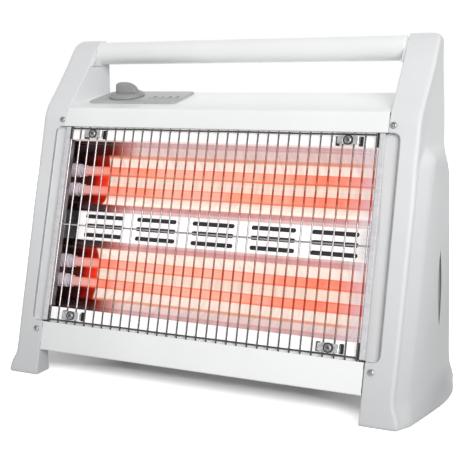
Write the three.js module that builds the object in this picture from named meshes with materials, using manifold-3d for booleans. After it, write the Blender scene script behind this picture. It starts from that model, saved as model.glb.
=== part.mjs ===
// Halogen heater: four quartz tubes in two reflectors behind a wire guard, between two moulded side
// panels that carry the feet and the handle. Millimetres, +Z up, front towards -Y, origin on the
// floor under the middle of the heater.

import * as THREE from 'three';
import { mergeVertices } from 'three/addons/utils/BufferGeometryUtils.js';
import Module from 'manifold-3d';

const wasm = await Module();
wasm.setup();

// ---- driving dimensions ----

const depth = 153;                       // front toe to rear edge of the side panels
const glandReach = 10;                   // the cable gland stands out behind the side panels
const toeY = -(depth + glandReach) / 2;  // Y of the front toe
const rearEdgeY = toeY + depth;
const tilt = THREE.MathUtils.degToRad(15.8); // lean of the guard and fascia, back from vertical
const sheet = 1.2;                       // sheet metal
const gap = 0.3;                         // between pieces that touch

const panelInner = 160;                  // X of the side panels' inner faces
const panelTop = 328;                    // height of the heater
const panelWall = 2.6;
const notchOuter = 174.7;                // X of the notch beside the guard
const notchDeep = 4;
const notchRadius = 8;
const slitY = toeY + 103;                // narrow vertical slit in each cheek
const slitUps = [64, 133];
const screwX = 168.5;                    // screws through the side panels' fronts
const screwUps = [45.5, 256.5];

const guardTop = 249;                    // along the slope, from the floor
const guardBottom = 55.5;
const slopeMiddle = 153;
const wirePitch = 10;
const wireCount = 32;
const wireRadius = 1;
const frameWireX = 160.6;
const crossDeep = 1.5;                   // cross wires lie behind the uprights
const clipX = 130;
const clipHalf = 10.5;                   // half length of a saddle clip
const clipHigh = 3.8;                    // half height
const clipUps = [61.8, 242.4];

const creaseAt = 268.5;                  // slope distance of the fascia's upper crease
const caseBackY = toeY + 151.7;          // the case's rear face
const topRise = THREE.MathUtils.degToRad(11.5); // rise of the case's top towards the rear
const caseBottom = 23.5;
const openingHalf = 84.5;                // half height of the opening in front of the reflectors
const ledgeDeep = 4.2;                   // the white strips behind the guard's edges

const handleRadius = 11.5;
const handleWall = 2.6;
const handleY = toeY + 139.5;
const handleZ = 314.5;

const tubeRadius = 5;
const tubeBore = 3.8;
const coilRadius = 2.6;
const leadRadius = 1.1;
const holderRadius = 7;
const tubeDeep = 29;                     // tube centres behind the guard plane
const tubeOffsets = [37, 57];            // tube centres from the middle, along the slope
const tubeEnd = 164;
const holderInner = 157.5;               // X where a ceramic holder begins
const endPlateX = 172.3;                 // inner face of an end plate
const endPlateDeep = [6.5, 60];          // behind the guard plane
const endPlateUps = [39, 263];
const barHalf = 14.8;                    // half height of the middle bar
const barEnd = 150;
const barDeep = 22;
const slotPitch = 61;
const slotLength = 44;
const slotHigh = 4.2;
const slotRows = [-10.7, 0, 10.7];

const knobX = -122;
const knobY = toeY + 119.5;
const knobRadius = 20.5;
const knobHigh = 16.5;
const shaftRadius = 3;
const plateEdges = { x0: -154, x1: -55, y0: 22.3, y1: 73.2, thick: 1.6, round: 6 };

const plungerX = -112;                   // the tip-over switch stands over its plunger
const plungerY = toeY + 96.5;
const plungerRadius = 4;
const plungerFoot = 0.4;                 // the plunger's tip stops just above the floor line
const glandX = 118;
const glandZ = 46;
const cutoutX = 60;                      // the thermal cut-out on the back of the upper reflector
const ventLength = 52;
const ventHigh = 4;

// ---- finishes ----

function finish(color, roughness, metalness = 0) {
  return () => new THREE.MeshStandardMaterial({ color, roughness, metalness });
}

const whitePlastic = finish(0xeceded, 0.4);
const whitePaint = finish(0xf0f1f1, 0.35);
const chromeWire = finish(0xb9bcc0, 0.2, 1);
const polishedSheet = finish(0xd9d6d2, 0.15, 1);
const brightSteel = finish(0xc4c6c9, 0.35, 1);
const quartz = finish(0xffb08a, 0.1);
const resistanceWire = finish(0xff5a1e, 0.5);
const ceramic = finish(0xe6e1e6, 0.6);
const greyPlastic = finish(0x8f9193, 0.5);
const plateGrey = finish(0xb9bbbd, 0.45);
const blackPlastic = finish(0x26272a, 0.5);

// ---- solids ----

function solidOf(geometry) {
  const bare = geometry.clone();
  bare.deleteAttribute('normal');
  bare.deleteAttribute('uv');
  const merged = mergeVertices(bare, 1e-4);
  return new wasm.Manifold(new wasm.Mesh({
    numProp: 3,
    vertProperties: Float32Array.from(merged.attributes.position.array),
    triVerts: Uint32Array.from(merged.index.array),
  }));
}

function geometryOf(solid) {
  const mesh = solid.getMesh();
  const geometry = new THREE.BufferGeometry();
  geometry.setAttribute('position', new THREE.BufferAttribute(mesh.vertProperties, 3));
  geometry.setIndex(new THREE.BufferAttribute(mesh.triVerts, 1));
  geometry.computeVertexNormals();
  return geometry;
}

function join(first, ...others) {
  return others.reduce((sum, other) => sum.add(other), first);
}

function cut(body, ...tools) {
  return tools.reduce((rest, tool) => rest.subtract(tool), body);
}

function block(x0, x1, y0, y1, z0, z1) {
  const geometry = new THREE.BoxGeometry(x1 - x0, y1 - y0, z1 - z0);
  return solidOf(geometry.translate((x0 + x1) / 2, (y0 + y1) / 2, (z0 + z1) / 2));
}

// A rod from one point to another.
function rod(radius, from, to, sides = 12) {
  const start = new THREE.Vector3(...from);
  const along = new THREE.Vector3(...to).sub(start);
  const geometry = new THREE.CylinderGeometry(radius, radius, along.length(), sides);
  const turn = new THREE.Quaternion().setFromUnitVectors(
    new THREE.Vector3(0, 1, 0), along.clone().normalize());
  geometry.applyQuaternion(turn);
  geometry.translate(...start.addScaledVector(along, 0.5).toArray());
  return solidOf(geometry);
}

// An outline in (Y, Z), carried along X.
function extrudeX(outline, x0, x1) {
  const shape = new THREE.Shape(outline.map(([y, z]) => new THREE.Vector2(y, z)));
  const geometry = new THREE.ExtrudeGeometry(shape, { depth: x1 - x0, bevelEnabled: false });
  const axes = new THREE.Matrix4().makeBasis(
    new THREE.Vector3(0, 1, 0), new THREE.Vector3(0, 0, 1), new THREE.Vector3(1, 0, 0));
  return solidOf(geometry.applyMatrix4(axes).translate(x0, 0, 0));
}

// A turned shape: a profile of (radius, height) pairs about Z.
function turned(profile, sides = 20) {
  const points = profile.map(([radius, height]) => new THREE.Vector2(radius, height));
  return solidOf(new THREE.LatheGeometry(points, sides).rotateX(Math.PI / 2));
}

// The outline of a bent sheet: the path, and the same path moved to its left by the thickness.
function bentSheet(path, thickness = sheet) {
  const inner = path.map((point, index) => {
    const before = path[Math.max(index - 1, 0)];
    const after = path[Math.min(index + 1, path.length - 1)];
    const into = unit(before, index > 0 ? point : after);
    const out = unit(index < path.length - 1 ? point : before, after);
    const bisector = [-(into[1] + out[1]), into[0] + out[0]];
    const spread = 1 + into[0] * out[0] + into[1] * out[1];
    return [point[0] + bisector[0] * thickness / spread, point[1] + bisector[1] * thickness / spread];
  });
  return [...path, ...inner.reverse()];
}

function unit(from, to) {
  const length = Math.hypot(to[0] - from[0], to[1] - from[1]);
  return [(to[0] - from[0]) / length, (to[1] - from[1]) / length];
}

// A point of the sloped front: distance up the slope and depth behind it, as (Y, Z).
function onSlope(up, behind = 0) {
  return [
    toeY + up * Math.sin(tilt) + behind * Math.cos(tilt),
    up * Math.cos(tilt) - behind * Math.sin(tilt),
  ];
}

// Straight interpolation in a list of (key, value) pairs.
function between(pairs, key) {
  const next = Math.max(1, pairs.findIndex(([place]) => place >= key));
  const [k0, v0] = pairs[next - 1];
  const [k1, v1] = pairs[next];
  return v0 + (v1 - v0) * THREE.MathUtils.clamp((key - k0) / (k1 - k0), 0, 1);
}

const heater = new THREE.Group();
heater.name = 'halogen_heater';
const front = new THREE.Group();         // X, depth behind the guard plane, distance up the slope
front.position.y = toeY;
front.rotation.x = -tilt;
heater.add(front);

function place(parent, name, solid, material) {
  const mesh = new THREE.Mesh(geometryOf(solid), material());
  mesh.name = name;
  parent.add(mesh);
  return mesh;
}

// ---- side panels ----

const panelFront = [[0, 0], [252, 71.3], [262, 78], [276, 92.5], [298, 114], [316, 128.5], [324, 136],
  [panelTop, 143]];                      // height, front edge behind the toe
const panelRearX = [[0, 216], [5, 216], [22, 211], [126, 206.4], [193, 203.4], [210, 201.6], [224, 199.7],
  [267, 197.2], [308, 195.2], [320, 193], [325, 190], [panelTop, 184]];
const panelFrontX = [[0, 191.8], [40, 193.6], [234, 194.4], [312, 194.4], [320, 193], [325, 190],
  [panelTop, 184]];
const cheekHigh = [[0, 4], [5, 4.2], [75, 7.6], [150, 10.2], [196, 9.2], [214, 4.5], [228, 0],
  [panelTop, 0]];
const sideBulge = [[0, 3.2], [22, 2.2], [120, 0.8], [224, 0.4], [panelTop, 0]];
const cornerRound = [[0, 2.5], [60, 4], [234, 7], [300, 6], [panelTop, 3]];
const panelLevels = [0, 3, 6, 12, 22, 40, 75, 110, 150, 185, 196, 206, 216, 228, 240, 252, 262, 276, 288,
  298, 308, 316, 320, 324, 326.5, panelTop];

// One level of the side panel: from the inner front corner round the outer side to the inner rear
// corner. A shrink moves every side inwards by a wall.
function panelLevel(z, shrink) {
  const frontY = toeY + between(panelFront, z) + shrink;
  const rearY = rearEdgeY - shrink;
  const frontX = between(panelFrontX, z) - shrink;
  const cheek = between(cheekHigh, z);
  const rearX = Math.max(between(panelRearX, z) - shrink, frontX - 1);
  const radius = Math.min(between(cornerRound, z), (rearY - frontY) / 4);
  const inner = panelInner + (shrink > 0 ? shrink : 0);
  const points = [[inner, frontY]];
  for (const angle of [-90, -60, -30, 0]) {
    const turn = THREE.MathUtils.degToRad(angle);
    points.push([frontX - radius + radius * Math.cos(turn), frontY + radius + radius * Math.sin(turn)]);
  }
  const valleyY = frontY + radius + 0.5;
  const room = rearY - valleyY - 7;
  const bevel = Math.min(cheek, room);
  const bevelX = frontX + cheek;
  const bevelY = valleyY + bevel;
  points.push([bevelX, bevelY]);
  for (const share of [0.33, 0.67]) {
    const bulge = between(sideBulge, z) * 4 * share * (1 - share);
    points.push([bevelX + (rearX - bevelX) * share + bulge, bevelY + (rearY - 5 - bevelY) * share]);
  }
  points.push([rearX, rearY - 5]);
  points.push([rearX - 1.5, rearY - 1.5]);
  points.push([rearX - 5, rearY]);
  points.push([inner, rearY]);
  return points.map(([x, y]) => [x, y, z]);
}

// A closed loft through levels that all have the same number of points.
function loft(levels) {
  const count = levels[0].length;
  const positions = levels.flat(2);
  const middles = [levels[0], levels.at(-1)].map((level) =>
    [0, 1, 2].map((axis) => level.reduce((sum, point) => sum + point[axis], 0) / count));
  positions.push(...middles.flat());
  const index = [];
  for (let row = 0; row < levels.length - 1; row++) {
    for (let column = 0; column < count; column++) {
      const right = (column + 1) % count;
      const a = row * count + column;
      const b = row * count + right;
      index.push(a, b, b + count, a, b + count, a + count);
    }
  }
  const last = (levels.length - 1) * count;
  for (let column = 0; column < count; column++) {
    const right = (column + 1) % count;
    index.push(levels.length * count, right, column);
    index.push(levels.length * count + 1, last + column, last + right);
  }
  const geometry = new THREE.BufferGeometry();
  geometry.setAttribute('position', new THREE.BufferAttribute(new Float32Array(positions), 3));
  geometry.setIndex(index);
  return solidOf(geometry);
}

// The notch beside the guard: a slot with rounded outer corners, open towards the guard.
function notchSolid(outer, deep) {
  const [low, high] = [guardBottom - 2, guardTop + 1];
  const shape = new THREE.Shape();
  shape.moveTo(panelInner - 20, low);
  shape.lineTo(outer - notchRadius, low);
  shape.absarc(outer - notchRadius, low + notchRadius, notchRadius, -Math.PI / 2, 0);
  shape.absarc(outer - notchRadius, high - notchRadius, notchRadius, 0, Math.PI / 2);
  shape.lineTo(panelInner - 20, high);
  const geometry = new THREE.ExtrudeGeometry(shape,
    { depth: deep + 20, bevelEnabled: false, curveSegments: 5 });
  geometry.rotateX(Math.PI / 2).translate(0, deep, 0);
  geometry.rotateX(-tilt).translate(0, toeY, 0);
  return solidOf(geometry);
}

function sidePanel() {
  const outside = loft(panelLevels.map((z) => panelLevel(z, 0)));
  const insideLevels = panelLevels.filter((z) => z < panelTop - 8 && z > 3);
  const inside = loft([3, ...insideLevels].map((z) => panelLevel(z, panelWall)));
  const doorway = extrudeX([
    onSlope(caseBottom + 8, notchDeep + 2),
    onSlope(creaseAt - 12, notchDeep + 2),
    [rearEdgeY - 8, 256],
    [rearEdgeY - 8, caseBottom + 4],
  ], panelInner - 5, panelInner + panelWall + 1);
  const [socketLow, socketHigh] = [302, 325];
  const socket = join(
    extrudeX([
      [toeY + 131, socketLow],
      [rearEdgeY - 1.5, socketLow],
      [rearEdgeY - 1.5, socketHigh],
      [toeY + 139.5, socketHigh],
      [toeY + 131, socketHigh - 8.5],
    ], panelInner - 1, panelInner + 12),
    rod(handleRadius - handleWall - 0.4, [panelInner - 14, handleY, handleZ],
      [panelInner + 4, handleY, handleZ], 20));
  const floor = notchSolid(notchOuter + 2, notchDeep + 2);
  const shell = join(cut(outside, inside, doorway), outside.intersect(floor));
  const slit = block(190, 230, slitY, slitY + 1.6, ...slitUps);
  const screwHoles = screwUps.map((up) =>
    rod(1.9, [screwX, ...onSlope(up, -5)], [screwX, ...onSlope(up, 20)], 10));
  return cut(join(shell, socket), notchSolid(notchOuter, notchDeep), slit, ...screwHoles);
}

const rightPanel = sidePanel();
place(heater, 'right_side_panel', rightPanel, whitePlastic);
place(heater, 'left_side_panel', rightPanel.mirror([1, 0, 0]), whitePlastic);

const handleEnd = panelInner - 1 - gap;
const handle = cut(
  rod(handleRadius, [-handleEnd, handleY, handleZ], [handleEnd, handleY, handleZ], 28),
  rod(handleRadius - handleWall, [-200, handleY, handleZ], [200, handleY, handleZ], 20));
place(heater, 'handle_tube', handle, whitePlastic);

// ---- sheet-metal case ----

const caseEnd = panelInner - gap;
const [creaseY, creaseZ] = onSlope(creaseAt);
const caseBackZ = creaseZ + (caseBackY - creaseY) * Math.tan(topRise);
const deck = new THREE.Group();          // X, distance back from the crease, height above the top
deck.position.set(0, creaseY, creaseZ);
deck.rotation.x = topRise;
heater.add(deck);
const knobBack = (knobY - creaseY) / Math.cos(topRise);

function clipSlots(up) {
  return [-1, 1].flatMap((side) => [-1, 1].map((end) => {
    const middle = side * clipX + end * (clipHalf - 0.6);
    return block(middle - 1.3, middle + 1.3, 0, ledgeDeep + 4, up - clipHigh - 0.6, up + clipHigh + 0.6);
  }));
}

// Moves a solid from slope coordinates (X, behind, up) to the heater's own.
function fromSlope(solid) {
  front.updateMatrix();
  return solid.transform(front.matrix.elements);
}

const topPath = [
  onSlope(slopeMiddle + openingHalf, 12),
  onSlope(slopeMiddle + openingHalf, ledgeDeep),
  onSlope(guardTop + 0.8, ledgeDeep),
  onSlope(guardTop + 0.8, 0),
  onSlope(creaseAt - 1.6, 0),
  [creaseY + 0.7, creaseZ + 0.35],
  [creaseY + 2.6, creaseZ + 0.55],
  [caseBackY - 2.4, caseBackZ - 0.5],
  [caseBackY - 0.6, caseBackZ - 0.9],
  [caseBackY, caseBackZ - 2.6],
  [caseBackY, caseBackZ - 14],
];
deck.updateMatrix();
const knobHole = rod(shaftRadius + 1, [knobX, knobBack, -9], [knobX, knobBack, 9], 16)
  .transform(deck.matrix.elements);
const ledgeScrewHoles = clipUps.map((up) => [-1, 1].map((side) =>
  rod(1.7, [side * clipX, 0, up], [side * clipX, 12, up], 8)));
place(heater, 'upper_case', cut(
  extrudeX(bentSheet(topPath, -sheet), -caseEnd, caseEnd),
  knobHole,
  ...[...clipSlots(clipUps[1]), ...ledgeScrewHoles[1]].map(fromSlope),
), whitePaint);

const lowerPath = [
  onSlope(slopeMiddle - openingHalf, 12),
  onSlope(slopeMiddle - openingHalf, ledgeDeep),
  onSlope(guardBottom - 2.3, ledgeDeep),
  onSlope(guardBottom - 2.3, 0),
  onSlope(caseBottom / Math.cos(tilt) + 1.4, 0),
  [onSlope(caseBottom / Math.cos(tilt), 0)[0] + 1.2, caseBottom],
  [toeY + 24, caseBottom],
];
place(heater, 'lower_case', cut(
  extrudeX(bentSheet(lowerPath), -caseEnd, caseEnd),
  ...[...clipSlots(clipUps[0]), ...ledgeScrewHoles[0]].map(fromSlope),
), whitePaint);

const platform = caseBottom + sheet + gap;

function slotGrid(columns, rows, pitchX, pitchRow, makeSlot) {
  const slots = [];
  for (let row = 0; row < rows; row++) {
    for (let column = 0; column < columns; column++) {
      slots.push(makeSlot((column - (columns - 1) / 2) * pitchX, (row - (rows - 1) / 2) * pitchRow));
    }
  }
  return slots;
}

const ventX = ventLength / 2;
const ventZ = ventHigh / 2;
const bottomSlots = slotGrid(4, 5, 72, 13, (x, offset) =>
  block(x - ventX, x + ventX, offset - ventZ, offset + ventZ, platform - 5, platform + 5));
place(heater, 'bottom_plate', cut(
  block(-caseEnd + 1, caseEnd - 1, toeY + 10, caseBackY - 3, platform, platform + sheet),
  rod(plungerRadius + 0.7, [plungerX, plungerY, 0], [plungerX, plungerY, 40], 16),
  ...bottomSlots.map((slot) => slot.translate([16, toeY + 62, 0])),
), brightSteel);

const backFace = caseBackY - sheet - gap;
const backVent = (x, offset) =>
  block(x - ventX, x + ventX, backFace - 4, backFace + 4, offset - ventZ, offset + ventZ);
const backVents = [
  ...slotGrid(4, 9, 68, 10, backVent).map((vent) => vent.translate([0, 0, 192])),
  ...slotGrid(4, 4, 68, 10, backVent).map((vent) => vent.translate([0, 0, 92])),
];
place(heater, 'back_panel', cut(
  block(-caseEnd, caseEnd, backFace - sheet, backFace, platform + sheet + gap, caseBackZ - 3.2),
  rod(6.3, [glandX, backFace - 9, glandZ], [glandX, backFace + 9, glandZ], 16),
  ...backVents,
), whitePaint);

// ---- end plates, reflectors and middle bar ----

function endPlate(side) {
  const [near, far] = endPlateDeep;
  const wall = block(endPlateX, endPlateX + sheet, near, far, ...endPlateUps);
  const flange = block(panelInner + 3.5, endPlateX + sheet, near, near + sheet, ...endPlateUps);
  const edge = block(panelInner - 4.5, panelInner + 6, near, near + sheet,
    slopeMiddle - openingHalf + 1.5, slopeMiddle + openingHalf - 1.5);
  const screwHoles = screwUps.map((up) => rod(1.9, [screwX, 0, up], [screwX, 12, up], 10));
  const leadHoles = tubePlaces().map(([, up]) =>
    rod(leadRadius + 1.9, [endPlateX - 3, tubeDeep, up], [endPlateX + 4, tubeDeep, up], 10));
  const plate = cut(join(wall, flange, edge), ...screwHoles, ...leadHoles);
  return side > 0 ? plate : plate.mirror([1, 0, 0]);
}

// The four tubes, lowest first: number and distance up the slope.
function tubePlaces() {
  const [inner, outer] = tubeOffsets;
  return [-outer, -inner, inner, outer].map((offset, index) => [index + 1, slopeMiddle + offset]);
}

place(front, 'left_end_plate', endPlate(-1), brightSteel);
place(front, 'right_end_plate', endPlate(1), brightSteel);

// Depth behind the guard and offset from the middle, from the bar outwards.
const reflectorPath = [[34, 15.3], [20, 15.3], [18.4, 16.8], [18.4, 21], [33, 26], [43, 32], [46, 42],
  [42.5, 47], [46, 52], [43, 63], [31, 73], [17.2, 79.8], [13, 81.6], [13, 94]];

const reflectorEnd = endPlateX - gap;
const reflector = extrudeX(bentSheet(reflectorPath, -0.9), -reflectorEnd, reflectorEnd);
place(front, 'upper_reflector', reflector.translate([0, 0, slopeMiddle]), polishedSheet);
place(front, 'lower_reflector', reflector.mirror([0, 0, 1]).translate([0, 0, slopeMiddle]), polishedSheet);

function barSlot(x, up) {
  const shape = new THREE.Shape();
  const half = slotLength / 2 - slotHigh / 2;
  shape.absarc(half, 0, slotHigh / 2, -Math.PI / 2, Math.PI / 2);
  shape.absarc(-half, 0, slotHigh / 2, Math.PI / 2, 3 * Math.PI / 2);
  const geometry = new THREE.ExtrudeGeometry(shape, { depth: 8, bevelEnabled: false, curveSegments: 4 });
  return solidOf(geometry.rotateX(Math.PI / 2).translate(x, barDeep + 6, slopeMiddle + up));
}

const barPath = [[barDeep + 22, -barHalf], [barDeep, -barHalf], [barDeep, barHalf],
  [barDeep + 22, barHalf]];
const barSlots = slotRows.flatMap((up) => [-2, -1, 0, 1, 2].map((place) => barSlot(place * slotPitch, up)));
place(front, 'middle_bar', cut(
  extrudeX(bentSheet(barPath, -sheet), -barEnd, barEnd).translate([0, 0, slopeMiddle]),
  ...barSlots,
), whitePaint);

// ---- tubes ----

function alongX(solid, x) {
  return solid.rotate([0, 90, 0]).translate([x, 0, 0]);
}

for (const [number, up] of tubePlaces()) {
  const at = (solid) => solid.translate([0, tubeDeep, up]);
  const glass = turned([[tubeBore, -tubeEnd], [tubeRadius, -tubeEnd], [tubeRadius, tubeEnd],
    [tubeBore, tubeEnd], [tubeBore, -tubeEnd]], 16);
  place(front, `quartz_tube_${number}`, at(alongX(glass, 0)), quartz);
  const coil = join(
    rod(coilRadius, [-tubeEnd + 4, 0, 0], [tubeEnd - 4, 0, 0], 10),
    rod(leadRadius, [-tubeEnd - 6, 0, 0], [tubeEnd + 6, 0, 0], 8));
  place(front, `heating_coil_${number}`, at(coil), resistanceWire);
  const holderLength = endPlateX - gap - holderInner;
  const holder = turned([[leadRadius + 0.4, 0], [holderRadius, 0], [holderRadius, holderLength],
    [tubeRadius + gap, holderLength], [tubeRadius + gap, holderLength - 8],
    [leadRadius + 0.4, holderLength - 8], [leadRadius + 0.4, 0]], 16);
  const leftHolder = alongX(holder, -endPlateX + gap);
  place(front, `tube_holder_left_${number}`, at(leftHolder), ceramic);
  place(front, `tube_holder_right_${number}`, at(leftHolder.mirror([1, 0, 0])), ceramic);
}

// ---- guard ----

function wire(from, to) {
  return rod(wireRadius, from, to, 6);
}

const uprights = Array.from({ length: wireCount }, (_, index) => (index - (wireCount - 1) / 2) * wirePitch);
const guardWires = uprights.map((x) => wire([x, 0, guardBottom - 2], [x, 0, guardTop]));
const endWires = [-frameWireX, frameWireX].map((x) => wire([x, 0, guardBottom], [x, 0, guardTop - 0.6]));
const crossUps = [guardBottom + 0.6, slopeMiddle - 1.4, guardTop - 1];
const crossWires = crossUps.map((up) =>
  wire([-frameWireX - 1, crossDeep, up], [frameWireX + 1, crossDeep, up]));
place(front, 'guard', join(...crossWires, ...guardWires, ...endWires), chromeWire);

// A saddle clip: a plate over two wires, with a leg at each end through a slot of the strip.
function saddleClip(x, up) {
  const face = -wireRadius - gap;
  const plate = block(x - clipHalf, x + clipHalf, face - 1, face, up - clipHigh, up + clipHigh);
  const legs = [-1, 1].map((end) => {
    const middle = x + end * (clipHalf - 0.5);
    return block(middle - 0.5, middle + 0.5, face - 0.5, ledgeDeep + sheet + 1.5,
      up - clipHigh, up + clipHigh);
  });
  return cut(join(plate, ...legs), rod(1.7, [x, -9, up], [x, 3, up], 8));
}

// A round-headed screw, pointing back from its seat; its cross recess is cut in the head.
function screw(headRadius, headHigh, shankRadius, length) {
  const body = turned([[0, -length], [shankRadius, -length + 1], [shankRadius, 0], [headRadius, 0],
    [headRadius * 0.86, headHigh * 0.6], [headRadius * 0.45, headHigh], [0, headHigh]], 12);
  const arm = headRadius * 0.55;
  const recess = [0, 90].map((angle) =>
    block(-arm, arm, -0.35, 0.35, headHigh * 0.45, headHigh + 1).rotate([0, 0, angle]));
  return cut(body, ...recess).rotate([90, 0, 0]);
}

let clipNumber = 1;
for (const up of clipUps) {
  for (const x of [-clipX, clipX]) {
    place(front, `guard_clip_${clipNumber}`, saddleClip(x, up), brightSteel);
    const seat = -wireRadius - gap - 1 - gap;
    place(front, `clip_screw_${clipNumber}`, screw(3.4, 2, 1.4, 10).translate([x, seat, up]), brightSteel);
    clipNumber += 1;
  }
}

let screwNumber = 1;
for (const up of screwUps) {
  for (const x of [-screwX, screwX]) {
    const panelScrew = screw(2.9, 1.7, 1.5, 12).translate([x, -gap, up]);
    place(front, `panel_screw_${screwNumber}`, panelScrew, brightSteel);
    screwNumber += 1;
  }
}

// ---- controls ----

function roundedPlate({ x0, x1, y0, y1, thick, round }) {
  const shape = new THREE.Shape();
  shape.absarc(x1 - round, y0 + round, round, -Math.PI / 2, 0);
  shape.absarc(x1 - round, y1 - round, round, 0, Math.PI / 2);
  shape.absarc(x0 + round, y1 - round, round, Math.PI / 2, Math.PI);
  shape.absarc(x0 + round, y0 + round, round, Math.PI, 3 * Math.PI / 2);
  return solidOf(new THREE.ExtrudeGeometry(shape, { depth: thick, bevelEnabled: false, curveSegments: 5 }));
}

place(deck, 'control_plate', cut(
  roundedPlate(plateEdges).translate([0, 0, gap]),
  rod(shaftRadius + 1, [knobX, knobBack, -9], [knobX, knobBack, 9], 16),
), plateGrey);

const knobBase = plateEdges.thick + 2 * gap;
const knobBody = turned([[0, knobBase], [knobRadius, knobBase], [knobRadius, knobBase + 1.8],
  [knobRadius - 2.6, knobBase + 4], [0, knobBase + 4.6]], 32);
const gripShape = new THREE.Shape();
gripShape.moveTo(-12, knobBase + 3);
gripShape.lineTo(-10.6, knobHigh - 2.4);
gripShape.quadraticCurveTo(-10, knobHigh, -6.5, knobHigh);
gripShape.bezierCurveTo(3, knobHigh, 12.6, knobHigh - 3.6, 13.6, knobBase + 3);
const gripGeometry = new THREE.ExtrudeGeometry(gripShape,
  { depth: 8, bevelEnabled: false, curveSegments: 6 });
const grip = solidOf(gripGeometry.rotateX(Math.PI / 2).translate(0, 4, 0));
place(deck, 'selector_knob', cut(
  join(knobBody, grip),
  rod(shaftRadius + gap, [0, 0, 0], [0, 0, knobBase + 8], 16),
).translate([knobX, knobBack, 0]), greyPlastic);

place(deck, 'switch_shaft', rod(shaftRadius, [0, 0, -15], [0, 0, knobBase + 7.5], 14)
  .translate([knobX, knobBack, 0]), brightSteel);
place(deck, 'rotary_switch', cut(
  block(-14, 14, -13, 13, -20, -sheet - gap - 0.3),
  rod(shaftRadius + gap, [0, 0, -16], [0, 0, 5], 14),
).translate([knobX, knobBack, 0]), blackPlastic);

// ---- safety switches and supply ----

const switchFloor = platform + sheet + gap;
place(heater, 'tip_switch_body', cut(
  block(-11, 11, -11, 11, switchFloor, switchFloor + 20),
  rod(plungerRadius + 0.6, [0, 0, switchFloor - 2], [0, 0, switchFloor + 4], 16),
  rod(plungerRadius + 3, [0, 0, switchFloor + 1.2], [0, 0, switchFloor + 18], 16),
).translate([plungerX, plungerY, 0]), blackPlastic);
const collarZ = switchFloor + 1.2 + 5.6;
place(heater, 'tip_plunger', join(
  rod(plungerRadius, [0, 0, plungerFoot], [0, 0, collarZ + 1], 16),
  rod(plungerRadius + 2.4, [0, 0, collarZ], [0, 0, collarZ + 2], 16),
).translate([plungerX, plungerY, 0]), blackPlastic);
const springLow = collarZ + 2 + gap;
const springHigh = switchFloor + 18 - gap;
const springSleeve = turned([[3.4, springLow], [4.6, springLow], [4.6, springHigh],
  [3.4, springHigh], [3.4, springLow]], 16);
place(heater, 'tip_spring', springSleeve.translate([plungerX, plungerY, 0]), brightSteel);

place(front, 'thermal_cutout', join(
  rod(8, [cutoutX, 47.3, slopeMiddle + 42], [cutoutX, 53, slopeMiddle + 42], 18),
  block(cutoutX - 13, cutoutX + 13, 49, 50.5, slopeMiddle + 38, slopeMiddle + 46),
), blackPlastic);

place(heater, 'terminal_block', cut(
  block(-19, 19, -7, 7, switchFloor, switchFloor + 15),
  ...[-12, 0, 12].map((x) => rod(2.2, [x, -9, switchFloor + 6], [x, 9, switchFloor + 6], 10)),
).translate([glandX - 33, toeY + 127, 0]), ceramic);

const glandEnd = rearEdgeY + glandReach - backFace;
const glandProfile = [[3.6, -9], [6, -9], [6, gap], [9, gap], [8, 4], [5.6, glandEnd],
  [3.6, glandEnd], [3.6, -9]];
place(heater, 'cable_gland', turned(glandProfile, 20).rotate([-90, 0, 0])
  .translate([glandX, backFace, glandZ]), blackPlastic);

export default heater;
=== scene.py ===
import math
import bmesh
import bpy
import numpy as np
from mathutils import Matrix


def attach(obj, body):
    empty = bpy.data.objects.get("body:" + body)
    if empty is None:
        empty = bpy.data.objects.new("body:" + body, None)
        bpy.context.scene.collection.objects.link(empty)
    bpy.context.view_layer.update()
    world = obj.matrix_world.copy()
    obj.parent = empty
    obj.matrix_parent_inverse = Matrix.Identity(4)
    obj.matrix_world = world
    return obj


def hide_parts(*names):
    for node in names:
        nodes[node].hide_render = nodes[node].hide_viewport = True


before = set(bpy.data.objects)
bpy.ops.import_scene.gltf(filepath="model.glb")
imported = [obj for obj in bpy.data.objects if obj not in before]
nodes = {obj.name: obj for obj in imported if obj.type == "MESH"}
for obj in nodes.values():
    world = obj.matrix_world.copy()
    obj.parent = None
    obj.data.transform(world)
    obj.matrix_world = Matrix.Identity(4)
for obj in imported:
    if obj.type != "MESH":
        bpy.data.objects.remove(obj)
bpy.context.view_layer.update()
rng = np.random.default_rng(7)

# Sizes are in millimetres in the heater's own frame; makePiece turns them to metres.
# The guard and the fascia lie on one slope that starts at the front toe.
body = {
    "tilt": math.radians(15.8), "toeY": -81.5, "rearY": 71.5, "middleUp": 153.0, "creaseUp": 268.5,
    "topRise": math.radians(11.5), "sheet": 1.2,
}
sinTilt, cosTilt = math.sin(body["tilt"]), math.cos(body["tilt"])


# values side by side as columns, each spread over the shape they have together
def columnsOf(*values):
    return np.stack(np.broadcast_arrays(*values), axis=-1)


# world Y = toe + up * sin(tilt) + behind * cos(tilt); world Z = up * cos(tilt) - behind * sin(tilt)
def fromSlope(x, behind, up):
    y = body["toeY"] + up * sinTilt + behind * cosTilt
    return columnsOf(x, y, up * cosTilt - behind * sinTilt)


# the same for shapes drawn flat on the slope, whose third column is the depth
def onSlope(x, up, behind):
    return fromSlope(x, behind, up)


creaseY, creaseZ = fromSlope(0, 0, body["creaseUp"])[1:]


# the top's own frame: along runs back from the fascia's upper crease, above stands off the sheet
def fromDeck(x, along, above):
    rise = body["topRise"]
    y = creaseY + along * math.cos(rise) - above * math.sin(rise)
    return columnsOf(x, y, creaseZ + along * math.sin(rise) + above * math.cos(rise))


# vectors divided by their own lengths
def unit(vectors):
    return vectors / np.linalg.norm(vectors, axis=-1, keepdims=True)


# angles at even steps round a circle
def around(count):
    return np.linspace(0, 2 * math.pi, count, endpoint=False)


# the corners of a rectangle, against the clock
def box(x0, x1, y0, y1):
    return [(x0, y0), (x1, y0), (x1, y1), (x0, y1)]


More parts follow.
